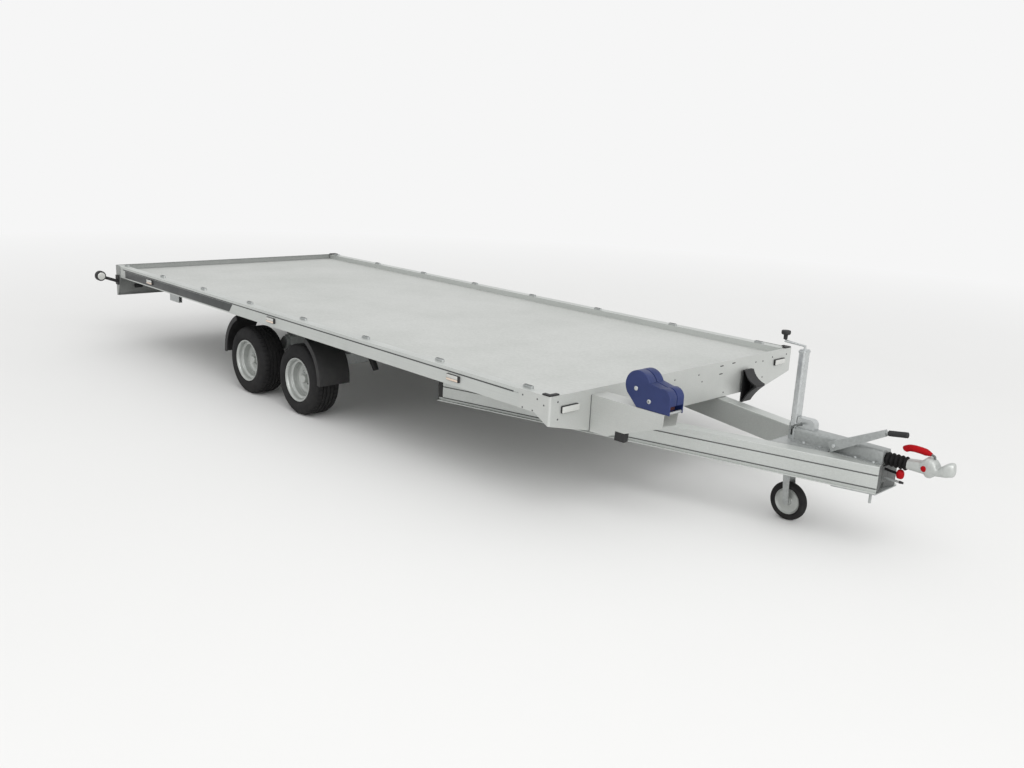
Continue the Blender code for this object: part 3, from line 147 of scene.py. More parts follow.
def splash_effect():
    """Road dust that thins out with height above the ground."""
    group, get, give = effect("splash", {"Vector": "Vector", "Top": "Float"}, {"Mask": "Float"})
    split = put(group, "ShaderNodeSeparateXYZ", {0: get["Vector"]})
    height = maths(group, "DIVIDE", split.outputs["Z"], get["Top"])
    fade = ranged(group, height, 0.0, 1.0, 1.0, 0.0)
    patch = ranged(group, noise(group, get["Vector"], 24.0, 6, 0.7), *DUST_SPAN)
    group.links.new(maths(group, "MULTIPLY", fade, patch), give["Mask"])
    return group


PATINA = patina_effect()
STREAKS = streaks_effect()
SPANGLE = spangle_effect()
SPLASH = splash_effect()


def srgb(code):
    """A linear colour from a six-digit colour code."""
    values = [int(code[i:i + 2], 16) / 255 for i in (0, 2, 4)]
    return (*[v / 12.92 if v <= 0.04045 else ((v + 0.055) / 1.055) ** 2.4 for v in values], 1.0)


def use(tree, group, **links):
    """The outputs of a group whose inputs are fed by name, with a low line for each space."""
    links = {word.replace("_", " "): source for word, source in links.items()}
    return put(tree, "ShaderNodeGroup", links, node_tree=group).outputs


def finish(name, colour, stain, metallic=0.0, roughness=0.45, spread=0.1, share=0.2, cloud=3.0, grain=90.0,
           bump=0.15, depth=0.0004, streaks=0.0, spangle=0.0, dust=0.0, dust_top=0.5, coat=0.0, shine=0.5):
    """One surface: patina over a base colour, with drawn lines, zinc facets or road dust where it has any."""
    made = bpy.data.materials.new(name)
    made.use_nodes = True
    tree = made.node_tree
    shader = tree.nodes["Principled BSDF"]
    place = put(tree, "ShaderNodeTexCoord").outputs["Object"]
    base = use(tree, PATINA, Vector=place, Colour=srgb(colour), Stain=srgb(stain), Stain_share=share,
               Cloud_scale=cloud, Grain_scale=grain, Roughness=roughness, Roughness_spread=spread)
    tone, rough, height = base["Colour"], base["Roughness"], base["Height"]
    if streaks:
        lines = use(tree, STREAKS, Vector=place)["Mask"]
        tone = shaded(tree, tone, ranged(tree, lines, *NOISE_SPAN, 1 - streaks, 1 + streaks))
        height = maths(tree, "ADD", height, maths(tree, "MULTIPLY", lines, 0.6))
    if spangle:
        facets = use(tree, SPANGLE, Vector=place)["Mask"]
        tone = shaded(tree, tone, ranged(tree, facets, 0.0, 1.0, 1 - spangle, 1 + spangle))
        rough = maths(tree, "ADD", rough, ranged(tree, facets, 0.0, 1.0, *FACET_ROUGHNESS))
    if dust:
        mask = maths(tree, "MULTIPLY", use(tree, SPLASH, Vector=place, Top=dust_top)["Mask"], dust)
        tone = mixed(tree, mask, tone, srgb(DUST_TONE))
        rough = maths(tree, "ADD", rough, maths(tree, "MULTIPLY", mask, 0.3))
    tree.links.new(tone, shader.inputs["Base Color"])
    tree.links.new(rough, shader.inputs["Roughness"])
    shader.inputs["Metallic"].default_value = metallic
    shader.inputs["Coat Weight"].default_value = coat
    shader.inputs["Specular IOR Level"].default_value = shine
    relief = put(tree, "ShaderNodeBump", {"Height": height, "Strength": bump, "Distance": depth})
    tree.links.new(relief.outputs["Normal"], shader.inputs["Normal"])
    return made


def lens_finish(name, colour, stain, roughness=0.22):
    return finish(name, colour, stain, roughness=roughness, share=0.4, cloud=30.0, grain=300.0, bump=0.2,
                  coat=0.6)


DECK = finish("deck sheet", "B7B9B6", "A9ACA8", roughness=0.55, share=0.5, cloud=1.3, grain=55.0, bump=0.2)
RAIL = finish("extruded aluminium", "BEC1BE", "AAADAA", 0.55, 0.42, streaks=0.04, share=0.3, grain=300.0)
PANEL = finish("folded sheet", "BEC0BD", "ABAEAB", 0.55, streaks=0.02, share=0.3, grain=300.0)
# The rear panel: the folded sheet's finish made darker, painted shade on its inner face
SHADED_REAR_SHEET = finish("rear sheet in painted shade", "929492", "828582", 0.55, streaks=0.02, share=0.3)
ZINC = finish("galvanised steel", "A6A9A8", "8C9090", 0.6, 0.46, spangle=0.08, share=0.4, dust=0.15)
BRIGHT = finish("bright zinc", "C0C3C3", "A5A8A8", 0.8, 0.33, spangle=0.05, share=0.3)
RUBBER = finish("tyre rubber", "1B1B1C", "141415", roughness=0.82, share=0.5, cloud=9.0, grain=240.0,
                bump=0.3, dust=0.06, dust_top=0.45, shine=0.25)
RIM = finish("silver paint", "AEB1AE", "979A98", 0.5, 0.36, share=0.3, cloud=12.0, grain=300.0, bump=0.06,
             dust=0.12)
PLASTIC = finish("black plastic", "161617", "1F1F20", roughness=0.6, share=0.6, cloud=14.0, grain=420.0,
                 bump=0.25, dust=0.1)
BLACK = finish("bellows rubber", "0C0C0D", "131313", roughness=0.7, share=0.5, cloud=20.0, grain=420.0,
               bump=0.2, shine=0.2)
# Dark grey plastic of the drawbar plugs and the nose tie, and the painted shade in the drawbar's grooves
PLUG_PLASTIC_AND_SHADE = finish("plug plastic and painted groove shade", "565857", "4C4E4D", roughness=0.55, share=0.5, cloud=18.0, grain=380.0)
# Dark film of the stripes, rivets and screws, and the painted shade in the rails' grooves
STRIPE_FILM_AND_SHADE = finish("stripe film and painted groove shade", "3E4040", "383A3A", 0.0, 0.5, share=0.4, cloud=6.0, grain=300.0, bump=0.05)
DARK_ZINC = finish("dull zinc", "6C6F6E", "5A5C5C", 0.6, 0.5, spangle=0.06, share=0.4)
CAST = finish("cast zinc", "B6B9B6", "969A98", 0.45, 0.42, share=0.4, cloud=22.0, grain=240.0, bump=0.25)
STRAP = finish("winch strap", "46181A", "361214", roughness=0.8, share=0.5, cloud=40.0, grain=500.0, bump=0.3)
AMBER = lens_finish("amber lens", "D2BFAE", "C9AF99")
BLUE = finish("navy plastic", "14265A", "102049", 0.0, 0.5, share=0.5, cloud=10.0, grain=520.0, bump=0.12)
RED = finish("red plastic", "A0000A", "880008", roughness=0.5, share=0.5, cloud=16.0, grain=420.0, bump=0.08,
             shine=0.15)
LENS = lens_finish("clear lens", "B9BAB6", "ADAEAA", 0.2)
RED_LENS = lens_finish("red lens", "A01016", "7C0C10")

BY_NODE = {
    "deck": DECK, "side_rail": RAIL, "front_panel": PANEL, "rear_panel": SHADED_REAR_SHEET, "winch_post": PANEL,
    "drawbar": RAIL, "tail_lamp": RED_LENS, "marker_arm": PLASTIC, "mudguard": PLASTIC, "bellows": PLASTIC,
    "handbrake_grip": PLASTIC, "crank_knob": PLASTIC, "wheel_chock": PLASTIC, "winch_cover": BLUE,
    "coupling_handle": RED, "coupling_head": BRIGHT, "jockey_tube": BRIGHT, "jockey_leg": BRIGHT,
}


def dress(node):
    """The node's finish: by its ending for wheels, by its beginning for the rest, galvanised otherwise."""
    if node.endswith("_tyre"):
        return RUBBER
    if node.endswith("_rim"):
        return RIM
    for word, made in BY_NODE.items():
        if node.startswith(word):
            return made
    return ZINC


for word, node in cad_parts.items():
    for slot in node.material_slots:
        slot.material = dress(word)


# Shapes: a shape is its points, its four-sided faces and its flat caps

ALONG, ACROSS, UP = np.eye(3)
# The angle in degrees from which an edge is drawn sharp
SHARP = 32.0
# The radius of a turned shape's flat end beside its axis
ON_AXIS = 0.001


def on_side(y, side):
    """The place of a face that looks out to one side: local axes along X, along Z and outwards."""
    return np.array((0, y * side, 0)), ALONG, UP, side * ACROSS


def on_end(x, toward):
    """The place of a face that looks forwards or back: local axes along Y, along Z and outwards."""
    return np.array((x, 0, 0)), ACROSS, UP, toward * ALONG


def on_top(z):
    """The place of a face that looks up: local axes along X, along Y and upwards."""
    return np.array((0, 0, z)), ALONG, ACROSS, UP


def set_in(place, points):
    """Local points carried to the trailer: the origin plus each coordinate times its own axis."""
    origin, first, second, out = place
    return origin + points[..., :1] * first + points[..., 1:2] * second + points[..., 2:] * out


def skin(points, close=False):
    """A skin over points (rows, columns, 3): quads round each row and between neighbouring rows.

    The first and last rows get flat caps, or are joined to each other where close is set.
    """
    rows, columns = points.shape[:2]
    row, column = np.meshgrid(np.arange(rows if close else rows - 1), np.arange(columns), indexing="ij")
    below, right = (row + 1) % rows, (column + 1) % columns
    quads = np.stack([row * columns + column, row * columns + right,
                      below * columns + right, below * columns + column], -1).reshape(-1, 4)
    ring = np.arange(columns)
    caps = [] if close else [ring[::-1], ring + (rows - 1) * columns]
    return points.reshape(-1, 3), quads, caps


def outward(shape):
    """The shape with its faces outwards: the products of its corners add up to a volume above zero."""
    points, quads, caps = shape
    first, second, third, fourth = (points[quads[:, i]] for i in range(4))
    volume = np.sum(first * (np.cross(second, third) + np.cross(third, fourth)))
    for cap in caps:
        ring = points[cap]
        volume += np.sum(ring[0] * np.cross(ring[1:-1], ring[2:]))
    if volume < 0:
        quads, caps = quads[:, ::-1], [cap[::-1] for cap in caps]
    return points, quads, caps


def mesh_of(name, shapes):
    points, faces, count = [], [], 0
    for verts, quads, caps in map(outward, shapes):
        points.append(verts)
        faces += (quads + count).tolist() + [(cap + count).tolist() for cap in caps]
        count += len(verts)
    mesh = bpy.data.meshes.new(name)
    mesh.from_pydata(np.concatenate(points).tolist(), [], faces)
    mesh.shade_smooth()
    mesh.set_sharp_from_angle(angle=math.radians(SHARP))
    return mesh


def added(name, data):
    """An object of its data, in the scene."""
    made = bpy.data.objects.new(name, data)
    bpy.context.scene.collection.objects.link(made)
    return made


def piece(name, shapes, made_of, replaces=(), body="chassis", mesh=None):
    """One object of several shapes or of a mesh, with its finish and its slot, riding on a body."""
    mesh = mesh or mesh_of(name, shapes)
    mesh.materials.clear()
    mesh.materials.append(made_of)
    made = added(name, mesh)
    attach(made, body)
    if replaces:
        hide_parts(*replaces)


def eased(path, reach, steps=3):
    """A path whose corners become short parabolas, from reach before a corner to reach after it."""
    path = np.array(path, float)
    run = np.diff(path, axis=0)
    length = np.linalg.norm(run, axis=1, keepdims=True)
    unit = run / length
    near = np.minimum(np.minimum(length[:-1], length[1:]) * 0.48, reach)
    start, corner, end = path[1:-1] - unit[:-1] * near, path[1:-1], path[1:-1] + unit[1:] * near
    t = np.linspace(0, 1, steps + 1)[None, :, None]
    curve = start[:, None] * (1 - t) ** 2 + corner[:, None] * 2 * t * (1 - t) + end[:, None] * t ** 2
    return np.concatenate([path[:1], curve.reshape(-1, path.shape[1]), path[-1:]])


def eased_loop(loop, reach, steps=3):
    """A closed outline, anticlockwise, with its corners eased."""
    loop = np.array(loop, float)
    ahead = np.roll(loop, -1, 0)
    if np.sum(loop[:, 0] * ahead[:, 1] - ahead[:, 0] * loop[:, 1]) < 0:
        loop = loop[::-1]
    middle = (loop[:1] + loop[-1:]) / 2
    return eased(np.concatenate([middle, loop, middle]), reach, steps)[:-1]


def box_loop(left, low, right, high, radius=0.002, steps=3):
    return eased_loop([(left, low), (right, low), (right, high), (left, high)], radius, steps)


def box_at(u, v, half_wide, half_high, radius, steps=3):
    """A box outline round its middle."""
    return box_loop(u - half_wide, v - half_high, u + half_wide, v + half_high, radius, steps)


def arc(centre, radius, start, end, steps):
    """Points on a circle from one angle to another, in degrees."""
    angle = np.radians(np.linspace(start, end, steps + 1))
    return np.stack([centre[0] + radius * np.cos(angle), centre[1] + radius * np.sin(angle)], 1)


def drawn_in(loop, by):
    """An anticlockwise outline moved inwards: each corner goes along the mean of its sides' normals."""
    ahead = np.roll(loop, -1, 0) - loop
    ahead /= np.maximum(np.linalg.norm(ahead, axis=1, keepdims=True), 1e-9)
    normal = np.stack([-ahead[:, 1], ahead[:, 0]], 1)
    both = normal + np.roll(normal, 1, 0)
    return loop + both * 2 * by / np.maximum(np.sum(both * both, 1, keepdims=True), 0.5)


def plate(loop, low, high, place, near=0.0, far=0.001, steps=2):
    """A flat outline run from one height to another, its rims rounded by quarter circles."""
    turn = np.linspace(0, math.pi / 2, steps + 1)
    heights = np.concatenate([low + near * (1 - np.cos(turn)), high - far * (1 - np.cos(turn[::-1]))])
    insets = np.concatenate([near * (1 - np.sin(turn)), far * (1 - np.sin(turn[::-1]))])
    rings = [np.column_stack([drawn_in(loop, inset), np.full(len(loop), height)])
             for inset, height in zip(insets, heights)]
    return skin(set_in(place, np.array(rings)))


def film(loop, thick, place):
    """A thin layer on a face."""
    return plate(loop, 0, thick, place, 0, 0.0002)


def turned(profile, place, centre=(0, 0), steps=48, close=False):
    """A profile of (radius, height) swept round the place's outward axis through a centre."""
    radius, height = np.array(profile, float).T
    angle = np.linspace(0, 2 * math.pi, steps, endpoint=False)
    rings = np.stack([np.outer(radius, np.cos(angle)) + centre[0],
                      np.outer(radius, np.sin(angle)) + centre[1],
                      np.repeat(height[:, None], steps, 1)], -1)
    return skin(set_in(place, rings), close)


def dome(radius, foot, rise):
    """The profile of a low dome: a quarter of a flattened circle."""
    turn = np.linspace(0, 1.5, 7)
    return np.stack([radius * np.cos(turn), foot + rise * np.sin(turn)], 1)


def bar(path, radius, square_to=(0, 1, 0), steps=16):
    """A round bar along a flat path: rings of the radius, or of one radius a point, square to the run."""
    path = np.array(path, float)
    run = np.gradient(path, axis=0)
    run /= np.linalg.norm(run, axis=1, keepdims=True)
    side = np.array(square_to, float)
    out = np.cross(side, run)
    angle = np.linspace(0, 2 * math.pi, steps, endpoint=False)[None, :, None]
    radius = np.broadcast_to(radius, len(path))[:, None, None]
    return skin(path[:, None] + radius * (out[:, None] * np.cos(angle) + side * np.sin(angle)))


def ring_bar(loop, radius, steps=8):
    """A round bar closed along a flat, level loop (points, 3)."""
    run = np.roll(loop, -1, 0) - np.roll(loop, 1, 0)
    run /= np.linalg.norm(run, axis=1, keepdims=True)
    out = np.cross(UP, run)
    angle = np.linspace(0, 2 * math.pi, steps, endpoint=False)[None, :, None]
    return skin(loop[:, None] + radius * (out[:, None] * np.cos(angle) + UP * np.sin(angle)), close=True)


def bolt(place, u, v, size=0.008):
    """A six-sided head with a chamfered top on its washer."""
    washer = turned([(size * 1.3, 0), (size * 1.3, size * 0.25)], place, (u, v), 20)
    head = [(size, size * 0.2), (size, size * 0.85), (size * 0.86, size)]
    return [washer, turned(head, place, (u, v), 6)]


def rivet(place, u, v, size):
    """A low dome: a quarter of a flattened circle turned round."""
    turn = np.linspace(0, 1.45, 5)
    return turned(np.stack([size * np.cos(turn), size * 0.45 * np.sin(turn)], 1), place, (u, v), 14)


def mirrored(wall):
    """A line of (radius, height) with its mirror image after it, so that the two close a section."""
    return [*wall, *[(r, -y) for r, y in reversed(wall)]]


def corners(node):
    low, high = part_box(node)
    return np.array(low), np.array(high)


PANEL_LAMP_DEPTH = 0.008
BED_FRONT = corners("front_panel")[1][0] - PANEL_LAMP_DEPTH
BED_REAR = corners("rear_panel")[0][0]
HALF_WIDTH = corners("rear_panel")[1][1]
SHEET = 0.003
GAP = 0.0003
RAIL_FACE = HALF_WIDTH - SHEET - GAP
RAIL_TOP = 0.645
SIDES = (("right", -1), ("left", 1))
WHEELS = [(place, word, side) for place in ("front", "rear") for word, side in SIDES]


# Road wheels

TYRE_WALL = ((0.144, 0.0855), (0.158, 0.0935), (0.182, 0.0975), (0.212, 0.0905), (0.228, 0.0795),
             (0.234, 0.0615))
TYRE_EASE = 0.009
GROOVES = (0.0405, 0.0140, -0.0140, -0.0405)
GROOVE_HALF = 0.0036
GROOVE_EDGE = 0.0008
GROOVE_DEPTH = 0.007
# Rows of points on the ribs, on either side of the tread's middle
RIB_ROWS = (0.058, 0.047, 0.034, 0.0205, 0.007)
CUTS = 44
CUT_DEPTH = 0.005
# One pitch of the tread: the shares of it where the radius may change, and those between which it is cut
CUT_SHARES = (0.0, 0.10, 0.13, 0.25, 0.28, 0.55, 0.60, 0.63, 0.70, 0.73)
OUTER_CUT = (0.13, 0.25)
INNER_CUT = (0.63, 0.70)
OUTER_RIBS_FROM = 0.0455
SHOULDER_END = 0.080
SHOULDER_FADE = 0.016
INNER_RIBS = (0.019, 0.0355)
INNER_DEPTH = 0.6 * CUT_DEPTH
# The rim, its hub cap and brake drum: (radius, distance outboard of the wheel's middle)
RIM_SIDE = (
    (0.002, 0.050), (0.022, 0.050), (0.027, 0.046), (0.029, 0.010), (0.078, 0.010), (0.092, 0.020),
    (0.112, 0.016), (0.112, 0.0535), (0.1277, 0.0575), (0.1297, 0.0795), (0.1377, 0.0915),
    (0.1437, 0.0915), (0.1437, 0.0695), (0.116, 0.0495), (0.116, -0.0615), (0.1437, -0.0755),
    (0.1437, -0.0915), (0.1397, -0.0915), (0.112, -0.0575), (0.112, 0.004), (0.104, 0.004),
    (0.104, -0.1205), (0.096, -0.1205), (0.096, -0.004), (0.0183, -0.004), (0.0183, 0.0303),
    (0.002, 0.0303),
)
RIM_EASE = 0.003
WHEEL_BOLTS = 5
BOLT_CIRCLE = 0.056
BOLT_SEAT = 0.0098
BOLT_SIZE = 0.0075
VALVE_SIDE = ((0.004, 0.056), (0.004, 0.078), (0.0055, 0.079), (0.0055, 0.086))
VALVE_AT = 0.121


def tyre_shape(place, centre):
    """A tyre: its section swept round the axle, with what the tread sinks taken off the radius.

    The section is the eased wall from bead to shoulder, the tread, and the wall again mirrored.
    Round grooves sink the radius by a fixed depth between their edges. Cross cuts sink the outer
    ribs, and more shallowly the ribs between the grooves, over a set share of each pitch round
    the tyre, and fade out over the shoulders.
    """
    wall = eased(TYRE_WALL, TYRE_EASE, 4)
    edge = GROOVE_HALF + GROOVE_EDGE
    groove_y = np.array([c + d for c in GROOVES for d in (edge, GROOVE_HALF, -GROOVE_HALF, -edge)])
    groove_drop = np.tile([0.0, GROOVE_DEPTH, GROOVE_DEPTH, 0.0], len(GROOVES))
    tread_y = np.concatenate([groove_y, RIB_ROWS, np.negative(RIB_ROWS)])
    order = np.argsort(-tread_y)
    tread_y = tread_y[order]
    drop = np.concatenate([groove_drop, np.zeros(2 * len(RIB_ROWS))])[order]
    section_y = np.concatenate([wall[:, 1], tread_y, -wall[::-1, 1]])
    section_r = np.concatenate([wall[:, 0], TYRE_WALL[-1][0] - drop, wall[::-1, 0]])
    shares = np.array(CUT_SHARES)
    angle = ((np.arange(CUTS)[:, None] + shares) * 2 * math.pi / CUTS).ravel()
    outer_cut, inner_cut = (np.tile((shares >= start) & (shares <= end), CUTS)
                            for start, end in (OUTER_CUT, INNER_CUT))
    off = np.abs(section_y)
    fade = np.clip((SHOULDER_END - off) / SHOULDER_FADE, 0, 1) * (off > OUTER_RIBS_FROM)
    between = (off > INNER_RIBS[0]) & (off < INNER_RIBS[1])
    sunk = CUT_DEPTH * np.outer(fade, outer_cut) + INNER_DEPTH * np.outer(between, inner_cut)
    radius = section_r[:, None] - sunk
    points = np.stack([centre[0] + radius * np.cos(angle), centre[1] + radius * np.sin(angle),
                       np.repeat(section_y[:, None], len(angle), 1)], -1)
    return skin(set_in(place, points), close=True)


def make_road_wheels():
    for where, word, side in WHEELS:
        node = f"wheel_{where}_{word}"
        low, high = corners(f"{node}_tyre")
        middle = (low + high) / 2
        place = on_side(abs(middle[1]), side)
        centre = (middle[0], middle[2])
        piece(f"{node}_treaded_tyre", [tyre_shape(place, centre)], RUBBER, [f"{node}_tyre"], node)
        rim = turned(eased(RIM_SIDE, RIM_EASE), place, centre, 72)
        turn = 2 * math.pi * np.arange(WHEEL_BOLTS) / WHEEL_BOLTS
        spots = centre + BOLT_CIRCLE * np.stack([np.cos(turn), np.sin(turn)], 1)
        disc = (place[0] + side * ACROSS * BOLT_SEAT, *place[1:])
        heads = [shape for u, v in spots for shape in bolt(disc, u, v, BOLT_SIZE)]
        valve = turned(VALVE_SIDE, place, (centre[0] + VALVE_AT, centre[1]), 12)
        piece(f"{node}_turned_rim", [rim], RIM, [f"{node}_rim"], node)
        piece(f"{node}_bolts", heads, BRIGHT, body=node)
        piece(f"{node}_valve", [valve], PLASTIC, body=node)


GUARD_RADIUS = 0.285
GUARD_WALL = 0.004
GUARD_LIP = 0.030
GUARD_EASE = 0.0016
GUARD_LIFT = 0.036
GUARD_ANGLES = (-4.0, 66.0)
# The hanging tab: where it starts and ends inboard of the guard's outer edge
TAB_ACROSS = (0.060, 0.006)
TAB_RIM = 0.0008


def make_mudguards():
    """Quarter hoops: the guard's section swung about an axis above the wheel's, with its hanging tab."""
    for where, word, side in WHEELS:
        node = f"mudguard_{where}_{word}"
        low, high = corners(node)
        wheel = sum(corners(f"wheel_{where}_{word}_tyre")) / 2
        outer, inner = max(abs(low[1]), abs(high[1])), min(abs(low[1]), abs(high[1]))
        inside, lip = GUARD_RADIUS, GUARD_RADIUS - GUARD_LIP
        over, edge = inside + GUARD_WALL, outer - GUARD_WALL
        section = [(inside, inner), (over, inner), (over, outer), (lip, outer), (lip, edge), (inside, edge)]
        section = eased_loop(section, GUARD_EASE)
        angle = np.radians(np.linspace(*GUARD_ANGLES, 41))
        forward = 1 if where == "front" else -1
        radius = section[:, 0]
        points = np.stack([wheel[0] + forward * np.outer(np.cos(angle), radius),
                           np.tile(side * section[:, 1], (len(angle), 1)),
                           wheel[2] + GUARD_LIFT + np.outer(np.sin(angle), radius)], -1)
        top = math.radians(GUARD_ANGLES[1])
        tab_x = wheel[0] + forward * (inside * math.cos(top) + 2.5 * GUARD_WALL)
        tab_low = wheel[2] + GUARD_LIFT + inside * math.sin(top) - 3 * GUARD_WALL
        tab_start, tab_end = (side * (outer - inset) for inset in TAB_ACROSS)
        tab = box_loop(tab_start, tab_low, tab_end, high[2], GUARD_WALL)
        hanger = plate(tab, -GUARD_WALL / 2, GUARD_WALL / 2, on_end(tab_x, 1), TAB_RIM, TAB_RIM)
        piece(f"{node}_moulding", [skin(points), hanger], PLASTIC, [node])


# Bed trim, with its places along X counted from the front panel's face

STRIPE_TOP = (-4.865, -3.060)
STRIPE_LOW = (-4.865, -3.107)
STRIPE_HEIGHTS = (0.561, 0.618)
GROOVE_RUN = (-4.905, -0.250)
# Half the height of the strip of painted shade in the rail's groove
GROOVE_SHADE_HALF = 0.0038
GROOVE_Z = RAIL_TOP - 0.022
# Corner of the strips of painted shade in the grooves
SHADE_STRIP_CORNER = 0.0008
STRIPE_THICK = 0.0005
# Thickness of the strips of painted shade in the grooves
SHADE_STRIP_THICK = 0.0004


def make_stripe(word, side):
    """The dark film on the rail, slanted at its front, and a dark strip of painted shade in the rail's
    groove.
    """
    rail = on_side(RAIL_FACE, side)
    low, high = STRIPE_HEIGHTS
    outline = [(BED_FRONT + STRIPE_LOW[0], low), (BED_FRONT + STRIPE_LOW[1], low),
               (BED_FRONT + STRIPE_TOP[1], high), (BED_FRONT + STRIPE_TOP[0], high)]
    piece(f"stripe_{word}", [film(eased_loop(outline, 0.002), STRIPE_THICK, rail)], STRIPE_FILM_AND_SHADE)
    # A dark strip of painted shade laid along the rail's groove
    strip = box_loop(BED_FRONT + GROOVE_RUN[0], GROOVE_Z - GROOVE_SHADE_HALF,
                     BED_FRONT + GROOVE_RUN[1], GROOVE_Z + GROOVE_SHADE_HALF, SHADE_STRIP_CORNER)
    piece(f"painted_groove_shade_{word}", [film(strip, SHADE_STRIP_THICK, rail)], STRIPE_FILM_AND_SHADE)


SIDE_LAMPS_AT = (-0.700, -2.5425, -4.385)
SIDE_LAMP_Z = 0.594
SIDE_LAMP_HALF = (0.0506, 0.0176)
SIDE_LAMP_DEPTH = 0.0088
SIDE_LENS_RUN = (-0.048, 0.040)
# Each lens of a side lamp: its colour, finish, and bottom and top from the lamp's middle
SIDE_LENSES = (("clear", LENS, -0.003, 0.0155), ("amber", AMBER, -0.0155, -0.004))
SIDE_LENS_DEPTH = 0.0108
LENS_SEAT = 0.008
LAMP_RIM = 0.0015


def make_side_lamps(word, side):
    rail = on_side(RAIL_FACE, side)
    middles = [BED_FRONT + lamp for lamp in SIDE_LAMPS_AT]
    bases = [plate(box_at(x, SIDE_LAMP_Z, *SIDE_LAMP_HALF, 0.005), 0, SIDE_LAMP_DEPTH, rail, 0, LAMP_RIM)
             for x in middles]
    piece(f"side_lamp_bases_{word}", bases, PLASTIC)
    start, end = SIDE_LENS_RUN
    for colour, made_of, low, high in SIDE_LENSES:
        loops = [box_loop(x + start, SIDE_LAMP_Z + low, x + end, SIDE_LAMP_Z + high, 0.003) for x in middles]
        lenses = [plate(loop, LENS_SEAT, SIDE_LENS_DEPTH, rail, 0, LAMP_RIM) for loop in loops]
        piece(f"side_lamp_{colour}_{word}", lenses, made_of)


FRONT_LAMP_Z = 0.575
FRONT_LAMP_INSET = 0.080
FRONT_LAMP_LENGTH = 0.115
FRONT_LAMP_HALF = 0.0186
FRONT_LAMP_PAST = 0.0006
FRONT_LAMP_DEPTH = 0.0086
FRONT_LENS_HEIGHTS = (-0.017, 0.0145)
FRONT_LENS_INSETS = (0.006, 0.0015)
FRONT_LENS_DEPTH = 0.0105


def make_front_lamp(word, side):
    face = on_end(BED_FRONT, 1)
    outer = HALF_WIDTH - FRONT_LAMP_INSET
    inner = outer - FRONT_LAMP_LENGTH
    base = box_loop(side * (inner - FRONT_LAMP_PAST), FRONT_LAMP_Z - FRONT_LAMP_HALF,
                    side * (outer + FRONT_LAMP_PAST), FRONT_LAMP_Z + FRONT_LAMP_HALF, 0.006)
    low, high = FRONT_LENS_HEIGHTS
    lens = box_loop(side * inner + FRONT_LENS_INSETS[0], FRONT_LAMP_Z + low,
                    side * outer - FRONT_LENS_INSETS[1] * side, FRONT_LAMP_Z + high, 0.004)
    base = plate(base, 0, FRONT_LAMP_DEPTH, face, 0, LAMP_RIM)
    piece(f"front_lamp_base_{word}", [base], PLASTIC)
    lens = plate(lens, LENS_SEAT, FRONT_LENS_DEPTH, face, 0, 0.0018)
    piece(f"front_lamp_clear_{word}", [lens], LENS)


# The screws in the panel's side wraps: distance behind the panel's face, height
WRAP_SCREWS = ((0.182, 0.621), (0.181, 0.559), (0.112, 0.558), (0.083, 0.621), (0.038, 0.600))
SCREW_SIZE = 0.0045


def make_wrap_screws(word, side):
    wrap = on_side(HALF_WIDTH, side)
    screws = [rivet(wrap, BED_FRONT - back, z, SCREW_SIZE) for back, z in WRAP_SCREWS]
    piece(f"wrap_screws_{word}", screws, STRIPE_FILM_AND_SHADE)


LASHINGS = 8
LASHING_FIRST = 0.20
LASHING_LAST = 0.111
LASHING_Y = RAIL_FACE - 0.052
LASHING_TOP = RAIL_TOP + 0.0122
LASHING_HALF = (0.030, 0.009)
LASHING_CORNER = 0.0085
WELL_PAST = 0.0016
WELL_HEIGHT = 0.0118
WELL_RIM = 0.0012
RING_INSET = 0.004
RING_RADIUS = 0.0014


def make_lashings(word, side):
    """The folded-down lashing points along a rail: a round-ended well with its ring on top."""
    pitch = (BED_FRONT - BED_REAR - LASHING_FIRST - LASHING_LAST) / (LASHINGS - 1)
    places = [BED_FRONT - LASHING_FIRST - pitch * index for index in range(LASHINGS)]
    wells, rings = [], []
    for x in places:
        loop = box_at(x, side * LASHING_Y, *LASHING_HALF, LASHING_CORNER, 5)
        wells.append(plate(drawn_in(loop, -WELL_PAST), 0, WELL_HEIGHT, on_top(RAIL_TOP), 0, WELL_RIM))
        ring = drawn_in(loop, RING_INSET)
        rings.append(ring_bar(np.column_stack([ring, np.full(len(ring), LASHING_TOP)]), RING_RADIUS))
    piece(f"lashing_wells_{word}", wells, ZINC)
    piece(f"lashing_rings_{word}", rings, DARK_ZINC)


# Rivets and slots in the front panel (y, z); each slot is a dark film of painted shade
PANEL_RIVETS = ((-1.024, 0.617), (-1.02, 0.53), (-0.11, 0.60), (0.109, 0.599), (0.682, 0.603), (0.759, 0.600),
                (0.769, 0.500), (0.862, 0.612), (1.022, 0.612), (0.145, 0.556), (0.366, 0.463))
PANEL_SLOTS = ((0.327, 0.623), (0.447, 0.626), (0.325, 0.577))
RIVET_SIZE = 0.005
SLOT_HALF = (0.016, 0.003)
SLOT_CORNER = 0.0028
SLOT_SHADE_THICK = 0.0006
# A long beam's hook from the side: distance from its upper front corner, height
HOOK_SIDE = ((-0.045, 0.4332), (0, 0.4332), (0.050, 0.352), (0.026, 0.342))
HOOK_X = BED_FRONT - 1.915
HOOK_Y = 0.700
HOOK_THICK = 0.030
# The plastic corner caps: length along the rail and across the panel, the band's width, and the rest
CAP_LENGTH = 0.058
CAP_ACROSS = 0.070
CAP_BAND = 0.024
CAP_INSET = 0.004
CAP_HEIGHT = 0.007
CAPS = ((BED_FRONT, -1, -1), (BED_FRONT, -1, 1), (BED_REAR, 1, 1))


